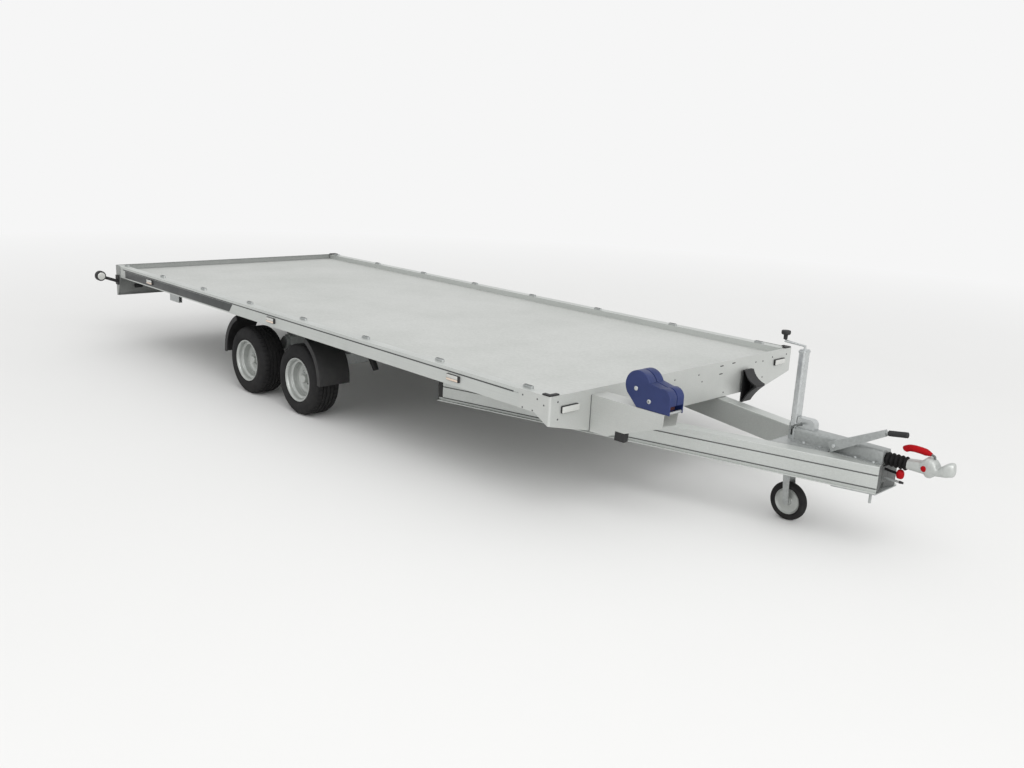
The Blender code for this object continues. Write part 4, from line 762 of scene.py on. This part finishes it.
def make_bed_trim():
    for word, side in SIDES:
        make_stripe(word, side)
        make_side_lamps(word, side)
        make_front_lamp(word, side)
        make_wrap_screws(word, side)
        make_lashings(word, side)

    face = on_end(BED_FRONT, 1)
    piece("panel_rivets", [rivet(face, y, z, RIVET_SIZE) for y, z in PANEL_RIVETS], STRIPE_FILM_AND_SHADE)
    # Each slot is a dark film on the panel's face: painted shade where the opening is
    slots = [film(box_at(y, z, *SLOT_HALF, SLOT_CORNER), SLOT_SHADE_THICK, face) for y, z in PANEL_SLOTS]
    piece("panel_slot_shade", slots, PLASTIC)

    hook = eased_loop([(HOOK_X + ahead, z) for ahead, z in HOOK_SIDE], 0.006)
    hooks = [plate(hook, HOOK_Y, HOOK_Y + HOOK_THICK, on_side(0, side), 0.002, 0.002) for word, side in SIDES]
    piece("beam_hooks", hooks, PLASTIC)

    caps = []
    for end, inwards, side in CAPS:
        near, reach = end + inwards * CAP_INSET, end + inwards * CAP_LENGTH
        outer, wide = HALF_WIDTH - CAP_INSET, HALF_WIDTH - CAP_ACROSS
        band_x, band_y = near + inwards * CAP_BAND, side * (outer - CAP_BAND)
        loop = [(near, side * outer), (near, side * wide), (band_x, side * wide), (band_x, band_y),
                (reach, band_y), (reach, side * outer)]
        caps.append(plate(eased_loop(loop, 0.003), 0, CAP_HEIGHT, on_top(RAIL_TOP + SHEET), 0, 0.002))
    piece("corner_caps", caps, PLASTIC)


PLUG_BOX = (-0.930, 0.450, -0.865, 0.478)
PLUG_DEPTH = 0.024
TAIL_EDGE = 0.008
TAIL_CORNER = 0.015
TRAY_SHARE = 0.6
TAIL_LENS_SEAT = 0.55
# Each lens of a tail lamp: its colour, finish, and start and end as shares of the lamp's width
TAIL_LENSES = (("clear", LENS, 0.0, 0.22), ("amber", AMBER, 0.235, 0.49), ("red", RED_LENS, 0.505, 1.0))
MARKER_RADIUS = 0.041
MARKER_LENS = (0.031, 0.024, 0.004)


def make_rear_lamps():
    """Tail lamps of a black tray with red, amber and clear lenses, and the lenses of the marker arms."""
    plug = plate(box_loop(*PLUG_BOX, 0.006), 0, PLUG_DEPTH, on_end(BED_REAR + SHEET, 1), 0, 0.003)
    piece("lamp_plug", [plug], PLASTIC)
    for word, side in SIDES:
        node = f"tail_lamp_{word}"
        low, high = corners(node)
        depth = high[0] - low[0]
        place = on_end(high[0], -1)
        tray = box_loop(low[1], low[2], high[1], high[2], TAIL_CORNER, 5)
        tray = plate(tray, 0, depth * TRAY_SHARE, place, 0.001, 0.004)
        piece(f"{node}_tray", [tray], PLASTIC, [node])
        inner, outer = sorted((low[1] * side, high[1] * side))
        span = outer - inner - 2 * TAIL_EDGE
        for colour, made_of, start, end in TAIL_LENSES:
            left, right = (side * (inner + TAIL_EDGE + span * share) for share in (start, end))
            loop = box_loop(left, low[2] + TAIL_EDGE, right, high[2] - TAIL_EDGE, 0.009, 4)
            lens = plate(loop, depth * TAIL_LENS_SEAT, depth, place, 0, 0.005, 4)
            piece(f"{node}_{colour}", [lens], made_of)
        arm_low, arm_high = corners(f"marker_arm_{word}")
        x = (arm_low[0] + arm_high[0]) / 2
        tip = arm_low if side < 0 else arm_high
        centre = (tip[1] - side * MARKER_RADIUS, arm_high[2] - MARKER_RADIUS)
        for end, colour, made_of, toward in (("front", "clear", LENS, 1), ("rear", "red", RED_LENS, -1)):
            lens = turned(dome(*MARKER_LENS), on_end(x, toward), centre, 32)
            piece(f"marker_{end}_{colour}_{word}", [lens], made_of)


# Drawbar, coupling and jockey wheel trim

DRAW_ENDS = ((-1.215, 0.753), (1.175, 0.1087))
DRAW_BOTTOM = 0.306
DRAW_TOP = 0.4331
DRAW_WIDTH = 0.080
DRAW_FLANGE = 0.018
DRAW_GROOVES = (0.018, 0.084)
# Half height and start of the strips of painted shade in the drawbar's grooves
DRAW_SHADE_HALF = 0.0028
DRAW_SHADE_START = 0.030
PLUG_INSET = 0.0006
COVER_LEDGE = 0.008
# The sleeve of a rear cover: its bottom above the bar's, its top below the bar's, and how far it runs
SLEEVE = (0.018, 0.012, -0.026, 0.004)
FOOT_BOLTS_AT = (0.76, 0.85, 1.03, 1.12)
FOOT_BOLTS_Y = 0.056
UNDER_BOLTS = ((1.02, 0.115), (1.12, 0.088))
UNDER_BOLTS_Z = DRAW_BOTTOM - 0.0053
NOSE_BOLT = 0.0065
# The plate between the drawbars' ends, from the front, and the tongue that it carries
TIE_BOX = (-0.026, 0.338, 0.026, 0.419)
TIE_X = 1.1465
TIE_THICK = 0.012
STUB_Z = 0.360
STUB_RUN = (1.150, 1.235)
STUB_RADIUS = 0.006
TIP_RUN = (1.232, 1.250)
TIP_RADII = (0.0075, 0.005)


def drawbar_place(side, front):
    """The place on one end of a drawbar: local axes inwards across the bar, up, and out of its end."""
    (rear_x, rear_y), (front_x, front_y) = DRAW_ENDS
    run = np.array((front_x - rear_x, side * (front_y - rear_y), 0))
    run /= np.linalg.norm(run)
    inwards = np.array((-abs(run[1]), -side * run[0], 0))
    end_x, end_y = DRAW_ENDS[1] if front else DRAW_ENDS[0]
    origin = np.array((BED_FRONT + end_x, side * end_y, DRAW_BOTTOM))
    return origin, inwards, UP, run if front else -run


def make_drawbar_trim():
    high = DRAW_TOP - DRAW_BOTTOM
    outer = DRAW_FLANGE + DRAW_WIDTH
    end_loop = box_loop(DRAW_FLANGE + PLUG_INSET, PLUG_INSET, outer - PLUG_INSET, high - PLUG_INSET, 0.004)
    stepped = eased_loop([(0, 0), (outer, 0), (outer, high), (DRAW_FLANGE, high), (DRAW_FLANGE, COVER_LEDGE),
                          (0, COVER_LEDGE)], 0.003)
    sleeve_low, sleeve_down, sleeve_start, sleeve_end = SLEEVE
    sleeve = box_loop(DRAW_FLANGE - 0.0008, sleeve_low, outer + 0.0008, high - sleeve_down, 0.003)
    run = np.linalg.norm(np.subtract(*DRAW_ENDS)) - 0.004
    plugs, covers, strips = [], [], []
    for side in (-1, 1):
        plugs.append(plate(end_loop, -0.0012, 0.0035, drawbar_place(side, True), 0, 0.0012))
        place = drawbar_place(side, False)
        covers.append(plate(stepped, -0.001, 0.006, place, 0, 0.002))
        covers.append(plate(sleeve, sleeve_start, sleeve_end, place, 0.0004, 0.002))
        face = (place[0] + place[1] * DRAW_FLANGE, -place[3], UP, -place[1])
        # Dark strips of painted shade laid in the drawbar's two grooves
        loops = [box_loop(DRAW_SHADE_START, z - DRAW_SHADE_HALF, run, z + DRAW_SHADE_HALF, SHADE_STRIP_CORNER)
                 for z in DRAW_GROOVES]
        strips += [film(loop, SHADE_STRIP_THICK, face) for loop in loops]
    piece("drawbar_painted_groove_shade", strips, PLUG_PLASTIC_AND_SHADE)
    piece("drawbar_front_plugs", plugs, PLUG_PLASTIC_AND_SHADE)
    piece("drawbar_rear_covers", covers, PLASTIC)

    foot = on_top(DRAW_TOP + GAP + SHEET)
    heads = [shape for x in FOOT_BOLTS_AT for side in (-1, 1)
             for shape in bolt(foot, BED_FRONT + x, side * FOOT_BOLTS_Y, NOSE_BOLT)]
    under = (np.array((0, 0, UNDER_BOLTS_Z)), ALONG, ACROSS, -UP)
    heads += [shape for x, y in UNDER_BOLTS for side in (-1, 1)
              for shape in bolt(under, BED_FRONT + x, side * y, NOSE_BOLT)]
    piece("nose_bolts", heads, BRIGHT)

    tie = plate(box_loop(*TIE_BOX, 0.004), 0, TIE_THICK, on_end(BED_FRONT + TIE_X, 1), 0, 0.002)
    piece("nose_tie", [tie], PLUG_PLASTIC_AND_SHADE)
    stub, tip = ([(BED_FRONT + x, 0.0, STUB_Z) for x in run] for run in (STUB_RUN, TIP_RUN))
    piece("nose_stub", [bar(stub, STUB_RADIUS)], ZINC)
    piece("nose_stub_tip", [bar(tip, TIP_RADII)], PLASTIC)


COUPLING_Z = 0.456
NOSE_X = BED_FRONT + 1.470
# The cast head: distance behind the nose with the height of its underside, of its top and its half width
HEAD_UNDER = ((0.0, 0.008), (0.003, -0.004), (0.030, -0.013), (0.078, -0.018), (0.100, -0.036),
              (0.118, -0.036), (0.128, -0.024), (0.208, -0.022))
HEAD_OVER = ((0.0, 0.026), (0.004, 0.052), (0.010, 0.058), (0.024, 0.057), (0.040, 0.048), (0.054, 0.036),
             (0.063, 0.024), (0.073, 0.024), (0.080, 0.038), (0.090, 0.052), (0.108, 0.058), (0.124, 0.059),
             (0.134, 0.050), (0.150, 0.034), (0.208, 0.026))
HEAD_WIDE = ((0.0, 0.012), (0.012, 0.028), (0.035, 0.036), (0.110, 0.036), (0.150, 0.030), (0.208, 0.028))
HEAD_EASE = 0.004
BALL_BEHIND_NOSE = 0.057
BALL_RADIUS = 0.0262
BALL_ROOF = 0.016
BALL_MOUTH = -0.08
SHAFT_RADIUS = 0.0225
BELLOWS_BORE = 0.0228
BELLOWS_RADIUS = 0.033
BELLOWS_FOLDS = 5
BELLOWS_VALLEY = 0.78


def head_shape():
    """The cast coupling head: round-cornered sections along X between its underside and its top.

    A section is a superellipse of the third power, its middle height and half height taken from
    the two eased side lines and its half width from the eased plan line.
    """
    back = np.concatenate([np.linspace(0.0006, 0.03, 26), np.linspace(0.032, 0.208, 90)])
    lines = [eased(line, HEAD_EASE, 4) for line in (HEAD_UNDER, HEAD_OVER, HEAD_WIDE)]
    under, over, wide = (np.interp(back, line[:, 0], line[:, 1]) for line in lines)
    angle = np.linspace(0, 2 * math.pi, 56, endpoint=False)
    power = 2 / 3
    flat = np.sign(np.cos(angle)) * np.abs(np.cos(angle)) ** power
    tall = np.sign(np.sin(angle)) * np.abs(np.sin(angle)) ** power
    x = np.repeat((NOSE_X - back)[:, None], len(angle), 1)
    y = np.outer(wide, flat)
    z = COUPLING_Z + ((over + under) / 2)[:, None] + np.outer((over - under) / 2, tall)
    return skin(np.stack([x, y, z], -1))


def hollowed(name, body, hollow):
    """The mesh of one shape with another cut out of it."""
    made = [added(word, mesh_of(word, [shape])) for word, shape in ((name, body), ("hollow", hollow))]
    change = made[0].modifiers.new("hollow", "BOOLEAN")
    change.operation = "DIFFERENCE"
    change.object = made[1]
    graph = bpy.context.evaluated_depsgraph_get()
    mesh = bpy.data.meshes.new_from_object(made[0].evaluated_get(graph))
    for each in made:
        bpy.data.objects.remove(each)
    mesh.name = name
    mesh.set_sharp_from_angle(angle=math.radians(SHARP))
    return mesh


def pleated_sleeve(start, end):
    """The bellows' profile: its radius swings from valley to crest as a cosine to the power 0.7."""
    share = np.linspace(0, 1, 101)
    wave = 0.5 - 0.5 * np.cos(2 * math.pi * share * BELLOWS_FOLDS)
    radius = BELLOWS_RADIUS * (BELLOWS_VALLEY + (1 - BELLOWS_VALLEY) * wave ** 0.7)
    outside = np.stack([radius, start + (end - start) * share], 1)
    return np.concatenate([outside, [(BELLOWS_BORE, end), (BELLOWS_BORE, start)]])


BUTTON_X = NOSE_X - 0.126
BUTTON_Z = COUPLING_Z + 0.007
BUTTON_Y = 0.0325
BUTTON_DOME = (0.0140, 0.001, 0.003)
BUTTON_RING = ((0.0165, 0), (0.0165, 0.002), (0.0142, 0.002), (0.0142, 0))
# The red grip's bend line: distance behind the nose, height above the shaft's axis
GRIP_LINE = ((0.238, 0.062), (0.233, 0.068), (0.216, 0.077), (0.190, 0.080), (0.150, 0.078), (0.112, 0.071))
GRIP_RADIUS = 0.0160
# The rest of the rod that carries it, by the same measures
ROD_LINE = ((0.096, 0.065), (0.096, 0.052))
ROD_START = 0.01
ROD_RADIUS = 0.0055
KNOB_X = BED_FRONT + 1.232
KNOB_Y = -0.004
KNOB_Z = 0.401
# The breakaway knob's profile, and its stem from back to front (x, z)
KNOB_SIDE = ((ON_AXIS, -0.024), (0.014, -0.022), (0.019, -0.006), (0.017, 0.010), (0.010, 0.020),
             (ON_AXIS, 0.021))
STEM_LINE = ((1.152, 0.406), (1.190, 0.402), (1.222, 0.400))
STEM_RADIUS = 0.006


def make_coupling():
    socket = [(radius, z) for radius, z in zip((ON_AXIS, BALL_RADIUS, BALL_RADIUS, ON_AXIS),
                                               (BALL_ROOF, BALL_ROOF, BALL_MOUTH, BALL_MOUTH))]
    socket = turned(eased(socket, 0.008, 5), on_top(COUPLING_Z), (NOSE_X - BALL_BEHIND_NOSE, 0), 40)
    head = hollowed("cast_head", head_shape(), socket)
    piece("cast_head", [], CAST, ["coupling_head"], mesh=head)
    bellows_low, bellows_high = corners("bellows")
    start, end = bellows_low[0], bellows_high[0]
    axis = (np.array((0, 0, COUPLING_Z)), ACROSS, UP, ALONG)
    shaft = turned([(SHAFT_RADIUS, start), (SHAFT_RADIUS, end + 0.02)], axis, (0, 0), 40)
    piece("overrun_shaft", [shaft], BRIGHT)
    sleeve = turned(pleated_sleeve(start, end), axis, (0, 0), 48, close=True)
    piece("pleated_bellows", [sleeve], BLACK, ["bellows"])

    cheek = on_side(BUTTON_Y, -1)
    ring = turned(eased(BUTTON_RING, 0.0006), cheek, (BUTTON_X, BUTTON_Z), 28)
    piece("button_ring", [ring], BRIGHT)
    piece("button", [turned(dome(*BUTTON_DOME), cheek, (BUTTON_X, BUTTON_Z), 24)], RED)

    line, rest = ([(NOSE_X - back, 0, COUPLING_Z + up) for back, up in part]
                  for part in (GRIP_LINE, ROD_LINE))
    path = eased(line, 0.012, 5)
    along = np.concatenate([[0], np.cumsum(np.linalg.norm(np.diff(path, axis=0), axis=1))])
    reach = np.minimum(along, along[-1] - along)
    thick = GRIP_RADIUS * np.sqrt(np.clip(0.25 + reach / 0.008, 0, 1))
    piece("red_grip", [bar(path, thick, steps=24)], RED, ["coupling_handle"])
    rod = [(line[-1][0] - ROD_START, 0, line[-1][2]), line[-1], *rest]
    piece("grip_rod", [bar(eased(rod, 0.008, 5), ROD_RADIUS)], DARK_ZINC)

    knob = turned(eased(KNOB_SIDE, 0.006), on_top(KNOB_Z), (KNOB_X, KNOB_Y), 24)
    piece("breakaway_knob", [knob], RED)
    stem = [(BED_FRONT + x, KNOB_Y, z) for x, z in STEM_LINE]
    piece("breakaway_stem", [bar(eased(stem, 0.012, 4), STEM_RADIUS)], BLACK)


LEVER_BEND = np.array((BED_FRONT + 1.165, -0.064, 0.592))
LEVER_END = np.array((BED_FRONT + 1.269, -0.064, 0.607))
LEVER_GRIP_START = 0.0104
LEVER_GRIP_RADIUS = 0.0130
RIDGED_SHARE = (0.18, 0.86)
RIDGES = 22
RIDGE_HEIGHT = 0.0009
PLAIN_HEIGHT = 0.0004
LEVER_FACE = 0.081
LEVER_PIVOT = (BED_FRONT + 0.930, 0.470)


def make_grips():
    """The ridged handbrake grip, the crank's knob, and the bolt at the lever's pivot.

    The grip's radius has ridges of a squared sine between two shares of its length, and its ends
    are rounded by a square root of the distance from them.
    """
    run = LEVER_END - LEVER_BEND
    length = np.linalg.norm(run)
    run = run / length
    share = np.linspace(0, 1, 90)
    ridged = (share > RIDGED_SHARE[0]) & (share < RIDGED_SHARE[1])
    ridges = np.where(ridged, RIDGE_HEIGHT * np.sin(share * 2 * math.pi * RIDGES) ** 2, PLAIN_HEIGHT)
    ends = np.sqrt(np.clip(np.minimum(share, (1 - share) * 0.7) / 0.03, 0.12, 1))
    profile = np.stack([(LEVER_GRIP_RADIUS + ridges) * ends,
                        LEVER_GRIP_START + (length - LEVER_GRIP_START) * share], 1)
    grip = turned(profile, (LEVER_BEND, np.cross(ACROSS, run), ACROSS, run), (0, 0), 28)
    piece("ridged_grip", [grip], PLASTIC, ["handbrake_grip"])
    piece("lever_pivot_bolt", bolt(on_side(LEVER_FACE, -1), *LEVER_PIVOT), BRIGHT)

    low, high = corners("crank_knob")
    middle, radius, rise = (low + high) / 2, (high[0] - low[0]) / 2, high[2] - low[2]
    knob = [(ON_AXIS, rise), (radius * 0.9, rise), (radius, rise - 0.004), (radius, rise - 0.017),
            (radius * 0.8, rise - 0.021), (radius * 0.45, rise - 0.023), (radius * 0.42, 0), (ON_AXIS, 0)]
    knob = turned(eased(knob, 0.003), on_top(low[2]), middle[:2], 36)
    piece("turned_knob", [knob], PLASTIC, ["crank_knob"])


JOCKEY_HUB = 0.068
JOCKEY_BORE = 0.0068
JOCKEY_X = BED_FRONT + 0.675
CLAMP_FACE = 0.031
CLAMP_SLOT = (0.452, 0.500)
# The clamp's screw and its cranked handle: distance ahead of the tube's middle, y, height
CLAMP_SCREW = ((0.006, -0.030, 0.492), (0.006, -0.046, 0.492))
CLAMP_HANDLE = ((0.002, -0.044, 0.488), (0.022, -0.044, 0.512), (0.060, -0.044, 0.520))
COLLAR_HALF = (0.0195, 0.0295)
COLLAR_HEIGHTS = (0.868, 0.8785)


def make_jockey_trim():
    low, high = corners("jockey_tyre")
    middle = (low + high) / 2
    place, centre = on_side(0, 1), (middle[0], middle[2])
    outside, half = (high[2] - low[2]) / 2, (high[1] - low[1]) / 2
    wall = [(JOCKEY_HUB, half * 0.8), (JOCKEY_HUB + 0.007, half), (outside - 0.012, half),
            (outside, half * 0.45)]
    tyre = turned(eased_loop(mirrored(wall), 0.006, 4), place, centre, 64, close=True)
    piece("jockey_round_tyre", [tyre], RUBBER, ["jockey_tyre"], "jockey_wheel")
    face = [(JOCKEY_BORE, half), (0.020, half), (0.022, half * 0.3), (JOCKEY_HUB - 0.010, half * 0.3),
            (JOCKEY_HUB - GAP, half * 0.8)]
    rim = turned(eased_loop(mirrored(face), 0.0025, 3), place, centre, 64, close=True)
    piece("jockey_turned_rim", [rim], RIM, ["jockey_rim"], "jockey_wheel")

    # The clamp's slot is a dark film on its face: painted shade where the opening is
    slot = box_loop(JOCKEY_X - 0.005, CLAMP_SLOT[0], JOCKEY_X + 0.005, CLAMP_SLOT[1], 0.0045)
    piece("clamp_slot_shade", [film(slot, SLOT_SHADE_THICK, on_side(CLAMP_FACE, -1))], PLASTIC)
    screw, handle = ([(JOCKEY_X + ahead, y, z) for ahead, y, z in line]
                     for line in (CLAMP_SCREW, CLAMP_HANDLE))
    screw = [bar(screw, 0.0055, (1, 0, 0)), bar(eased(handle, 0.012, 5), 0.0045)]
    piece("clamp_screw", screw, DARK_ZINC)
    collar = plate(box_at(JOCKEY_X, 0, *COLLAR_HALF, 0.009, 5), *COLLAR_HEIGHTS, on_top(0), 0.001, 0.001)
    piece("tube_collar", [collar], BRIGHT)


# Winch

POST_Y = -0.730
POST_TOP = 0.620
COVER_HALF = 0.054
COVER_SEAM = 0.0025
SEAM_OVERLAP = 0.001
SEAM_DEPTH = 0.004
CHEEK = 0.007
# A lobe of the cover: its middle (x, z), its radius, and the angles that its arc runs between
BIG_LOBE = ((0.277, 0.723), 0.074, 22, 215)
SMALL_LOBE = ((0.424, 0.693), 0.046, 0, 108)
MOUTH_DEPTH = 0.045
MOUTH_TOP = POST_TOP + 0.043
COVER_FRONT = SMALL_LOBE[0][0] + SMALL_LOBE[1]
COVER_BOLTS = ((0.270, 0.710), (0.351, 0.663))
COVER_BOLT_SIDE = ((0.011, -0.001), (0.011, 0.002), (0.0085, 0.0036), (ON_AXIS, 0.0042))
BOLT_END_SIDE = ((0.004, 0.004), (0.004, 0.006), (0.003, 0.0066))
ROLLER_BACK = 0.010
ROLLER_Z = POST_TOP + 0.0085
ROLLER_RADIUS = 0.0075
STRAP_BACK = 0.030
STRAP_HALF = 0.025
STRAP_LOW = POST_TOP + 0.014
STRAP_THICK = 0.002
# The clip under the post from the side, and the seam up the post's front: x, its low and high end
CLIP_SIDE = ((0.162, 0.4275), (0.222, 0.4275), (0.226, 0.474), (0.165, 0.474))
CLIP_THICK = 0.032
CLIP_Y = POST_Y - 0.056
POST_SEAM = (0.0012, 0.436, POST_TOP - 0.002)
POST_SEAM_Y = POST_Y - 0.0562
POST_SEAM_RADIUS = 0.0016


def cover_loop(inset, mouth):
    """The cover from the side: two round lobes over a flat foot, with the mouth taken out or not."""
    foot, front = POST_TOP + GAP + inset, COVER_FRONT - inset
    start = [(BIG_LOBE[0][0], foot), (front, foot)]
    if mouth:
        start[1:] = [(front - MOUTH_DEPTH, foot), (front - MOUTH_DEPTH, MOUTH_TOP), (front, MOUTH_TOP)]
    lobes = [arc(centre, radius - inset, low, high, steps)
             for (centre, radius, low, high), steps in ((SMALL_LOBE, 18), (BIG_LOBE, 32))]
    return np.concatenate([start, *lobes]) + (BED_FRONT, 0)


def make_winch():
    shapes = []
    for side in (-1, 1):
        place = on_side(side * POST_Y, side)
        shapes.append(plate(cover_loop(0, True), COVER_SEAM, COVER_HALF - CHEEK, place, 0.002, 0))
        shapes.append(plate(cover_loop(0, False), COVER_HALF - CHEEK, COVER_HALF, place, 0, 0.004, 4))
    seam = COVER_SEAM + SEAM_OVERLAP
    shapes.append(plate(cover_loop(SEAM_DEPTH, True), -seam, seam, on_side(POST_Y, 1), 0, 0))
    piece("moulded_cover", shapes, BLUE, ["winch_cover"])

    plain, dark = [], []
    for side in (-1, 1):
        face = on_side(side * POST_Y + COVER_HALF, side)
        plain += [turned(eased(COVER_BOLT_SIDE, 0.001), face, (BED_FRONT + x, z), 24) for x, z in COVER_BOLTS]
        x, z = COVER_BOLTS[1]
        dark.append(turned(BOLT_END_SIDE, face, (BED_FRONT + x, z), 12))
    piece("cover_bolts", plain, BRIGHT)
    piece("cover_bolt_ends", dark, DARK_ZINC)
    front, reach = BED_FRONT + COVER_FRONT, COVER_HALF - CHEEK
    roller = [(front - ROLLER_BACK, y, ROLLER_Z) for y in (POST_Y - reach, POST_Y + reach)]
    piece("mouth_roller", [bar(roller, ROLLER_RADIUS, (0, 0, 1), 20)], BRIGHT)
    strap = box_loop(POST_Y - STRAP_HALF, STRAP_LOW, POST_Y + STRAP_HALF, MOUTH_TOP, 0.001)
    piece("winch_strap", [plate(strap, 0, STRAP_THICK, on_end(front - STRAP_BACK, 1))], STRAP)
    clip = eased_loop(CLIP_SIDE, 0.004) + (BED_FRONT, 0)
    clip = plate(clip, 0, CLIP_THICK, on_side(CLIP_Y, 1), 0.002, 0.002)
    piece("post_clip", [clip], PLASTIC)
    ahead, *heights = POST_SEAM
    seam = [(BED_FRONT + ahead, POST_SEAM_Y, z) for z in heights]
    piece("post_seam", [bar(seam, POST_SEAM_RADIUS)], DARK_ZINC)


make_road_wheels()
make_mudguards()
make_bed_trim()
make_rear_lamps()
make_drawbar_trim()
make_coupling()
make_grips()
make_jockey_trim()
make_winch()


# Floor, lamps and camera

SKY_TONE = "F6F6F6"
SKY_LIGHT = 0.92
FLOOR_TONE = "DFDFDE"
FLOOR_STAIN = "DCDCDB"
FLOOR_FADE = (4.5, 12.0)
FLOOR_REACH = 60.0
LAMP_PLACE = (5.0, -4.0, 7.0)
LAMP_TARGET = (0.8, 0, 0.3)
SUN_ANGLE = math.radians(50)
SUN_PLACE = (0, 0, 4)
CAMERA_LENS = 33.76
CAMERA_SENSOR = 36.0
CAMERA_FAR = 300.0
CAMERA_PLACE = (4.7955, -4.252, 1.799)
# The camera's axes, one row each for X, Y and Z: its right, its up and the way it looks
CAMERA_AXES = ((0.68967, -0.20930, -0.69322), (0.72249, 0.13469, 0.67814), (0.04856, 0.96854, -0.24411))


def make_floor():
    """A pale floor that fades, far from the trailer, into the tone of the sky behind it."""
    mesh = bpy.data.meshes.new("floor")
    ends = (-FLOOR_REACH, FLOOR_REACH)
    mesh.from_pydata([(x, y, 0) for x in ends for y in ends], [], [(0, 2, 3, 1)])
    made = finish("floor", FLOOR_TONE, FLOOR_STAIN, roughness=0.9, spread=0.02, share=0.6, cloud=0.2,
                  grain=700.0, bump=0.0, shine=0.0)
    tree = made.node_tree
    place = put(tree, "ShaderNodeTexCoord").outputs["Object"]
    distance = put(tree, "ShaderNodeVectorMath", {0: place}, operation="LENGTH").outputs["Value"]
    seen = put(tree, "ShaderNodeLightPath").outputs["Is Camera Ray"]
    share = maths(tree, "MULTIPLY", ranged(tree, distance, *FLOOR_FADE), seen)
    glow = put(tree, "ShaderNodeEmission", {"Color": srgb(SKY_TONE), "Strength": 1.0}).outputs[0]
    shader = tree.nodes["Principled BSDF"]
    blend = put(tree, "ShaderNodeMixShader", {0: share, 1: shader.outputs[0], 2: glow})
    tree.links.new(blend.outputs[0], tree.nodes["Material Output"].inputs["Surface"])
    mesh.materials.append(made)
    added("floor", mesh)


def make_world():
    """A pale, even sky, seen by the camera in the background's own tone."""
    world = bpy.data.worlds.new("pale sky")
    world.use_nodes = True
    tree = world.node_tree
    light = tree.nodes["Background"]
    light.inputs["Color"].default_value = srgb("FFFFFF")
    light.inputs["Strength"].default_value = SKY_LIGHT
    shown = put(tree, "ShaderNodeBackground", {"Color": srgb(SKY_TONE), "Strength": 1.0})
    seen = put(tree, "ShaderNodeLightPath").outputs["Is Camera Ray"]
    blend = put(tree, "ShaderNodeMixShader", {0: seen, 1: light.outputs[0], 2: shown.outputs[0]})
    tree.links.new(blend.outputs[0], tree.nodes["World Output"].inputs["Surface"])
    bpy.context.scene.world = world


def facing(away, place):
    """A placing whose third axis points along away, with the second one upwards."""
    away = np.array(away, float) / np.linalg.norm(away)
    side = np.cross(UP, away)
    side /= np.linalg.norm(side)
    rows = np.array([side, np.cross(away, side), away]).T
    return Matrix([[*row, shift] for row, shift in zip(rows, place)] + [[0, 0, 0, 1]])


def make_light(name, kind, power, away, place, **settings):
    """A lamp or a wide sun at a place, which shines against the direction away."""
    lamp = bpy.data.lights.new(name, kind)
    lamp.energy = power
    for word, value in settings.items():
        setattr(lamp, word, value)
    made = added(name, lamp)
    made.matrix_world = facing(away, place)


def make_camera():
    data = bpy.data.cameras.new("camera")
    data.lens = CAMERA_LENS
    data.sensor_width = CAMERA_SENSOR
    data.clip_end = CAMERA_FAR
    camera = added("camera", data)
    rows = [[right, up, -ahead, place] for (right, up, ahead), place in zip(CAMERA_AXES, CAMERA_PLACE)]
    camera.matrix_world = Matrix([*rows, [0, 0, 0, 1]])
    bpy.context.scene.camera = camera


make_floor()
make_world()
make_light("main lamp", "AREA", 165, np.subtract(LAMP_PLACE, LAMP_TARGET), LAMP_PLACE, shape="SQUARE",
           size=5.0)
make_light("front light", "SUN", 1.35, (1.0, -0.15, 0.36), SUN_PLACE, angle=SUN_ANGLE)
make_light("side light", "SUN", 0.15, (0.1, -1.0, 0.30), SUN_PLACE, angle=SUN_ANGLE)
make_camera()
bpy.context.scene.view_settings.view_transform = "Standard"
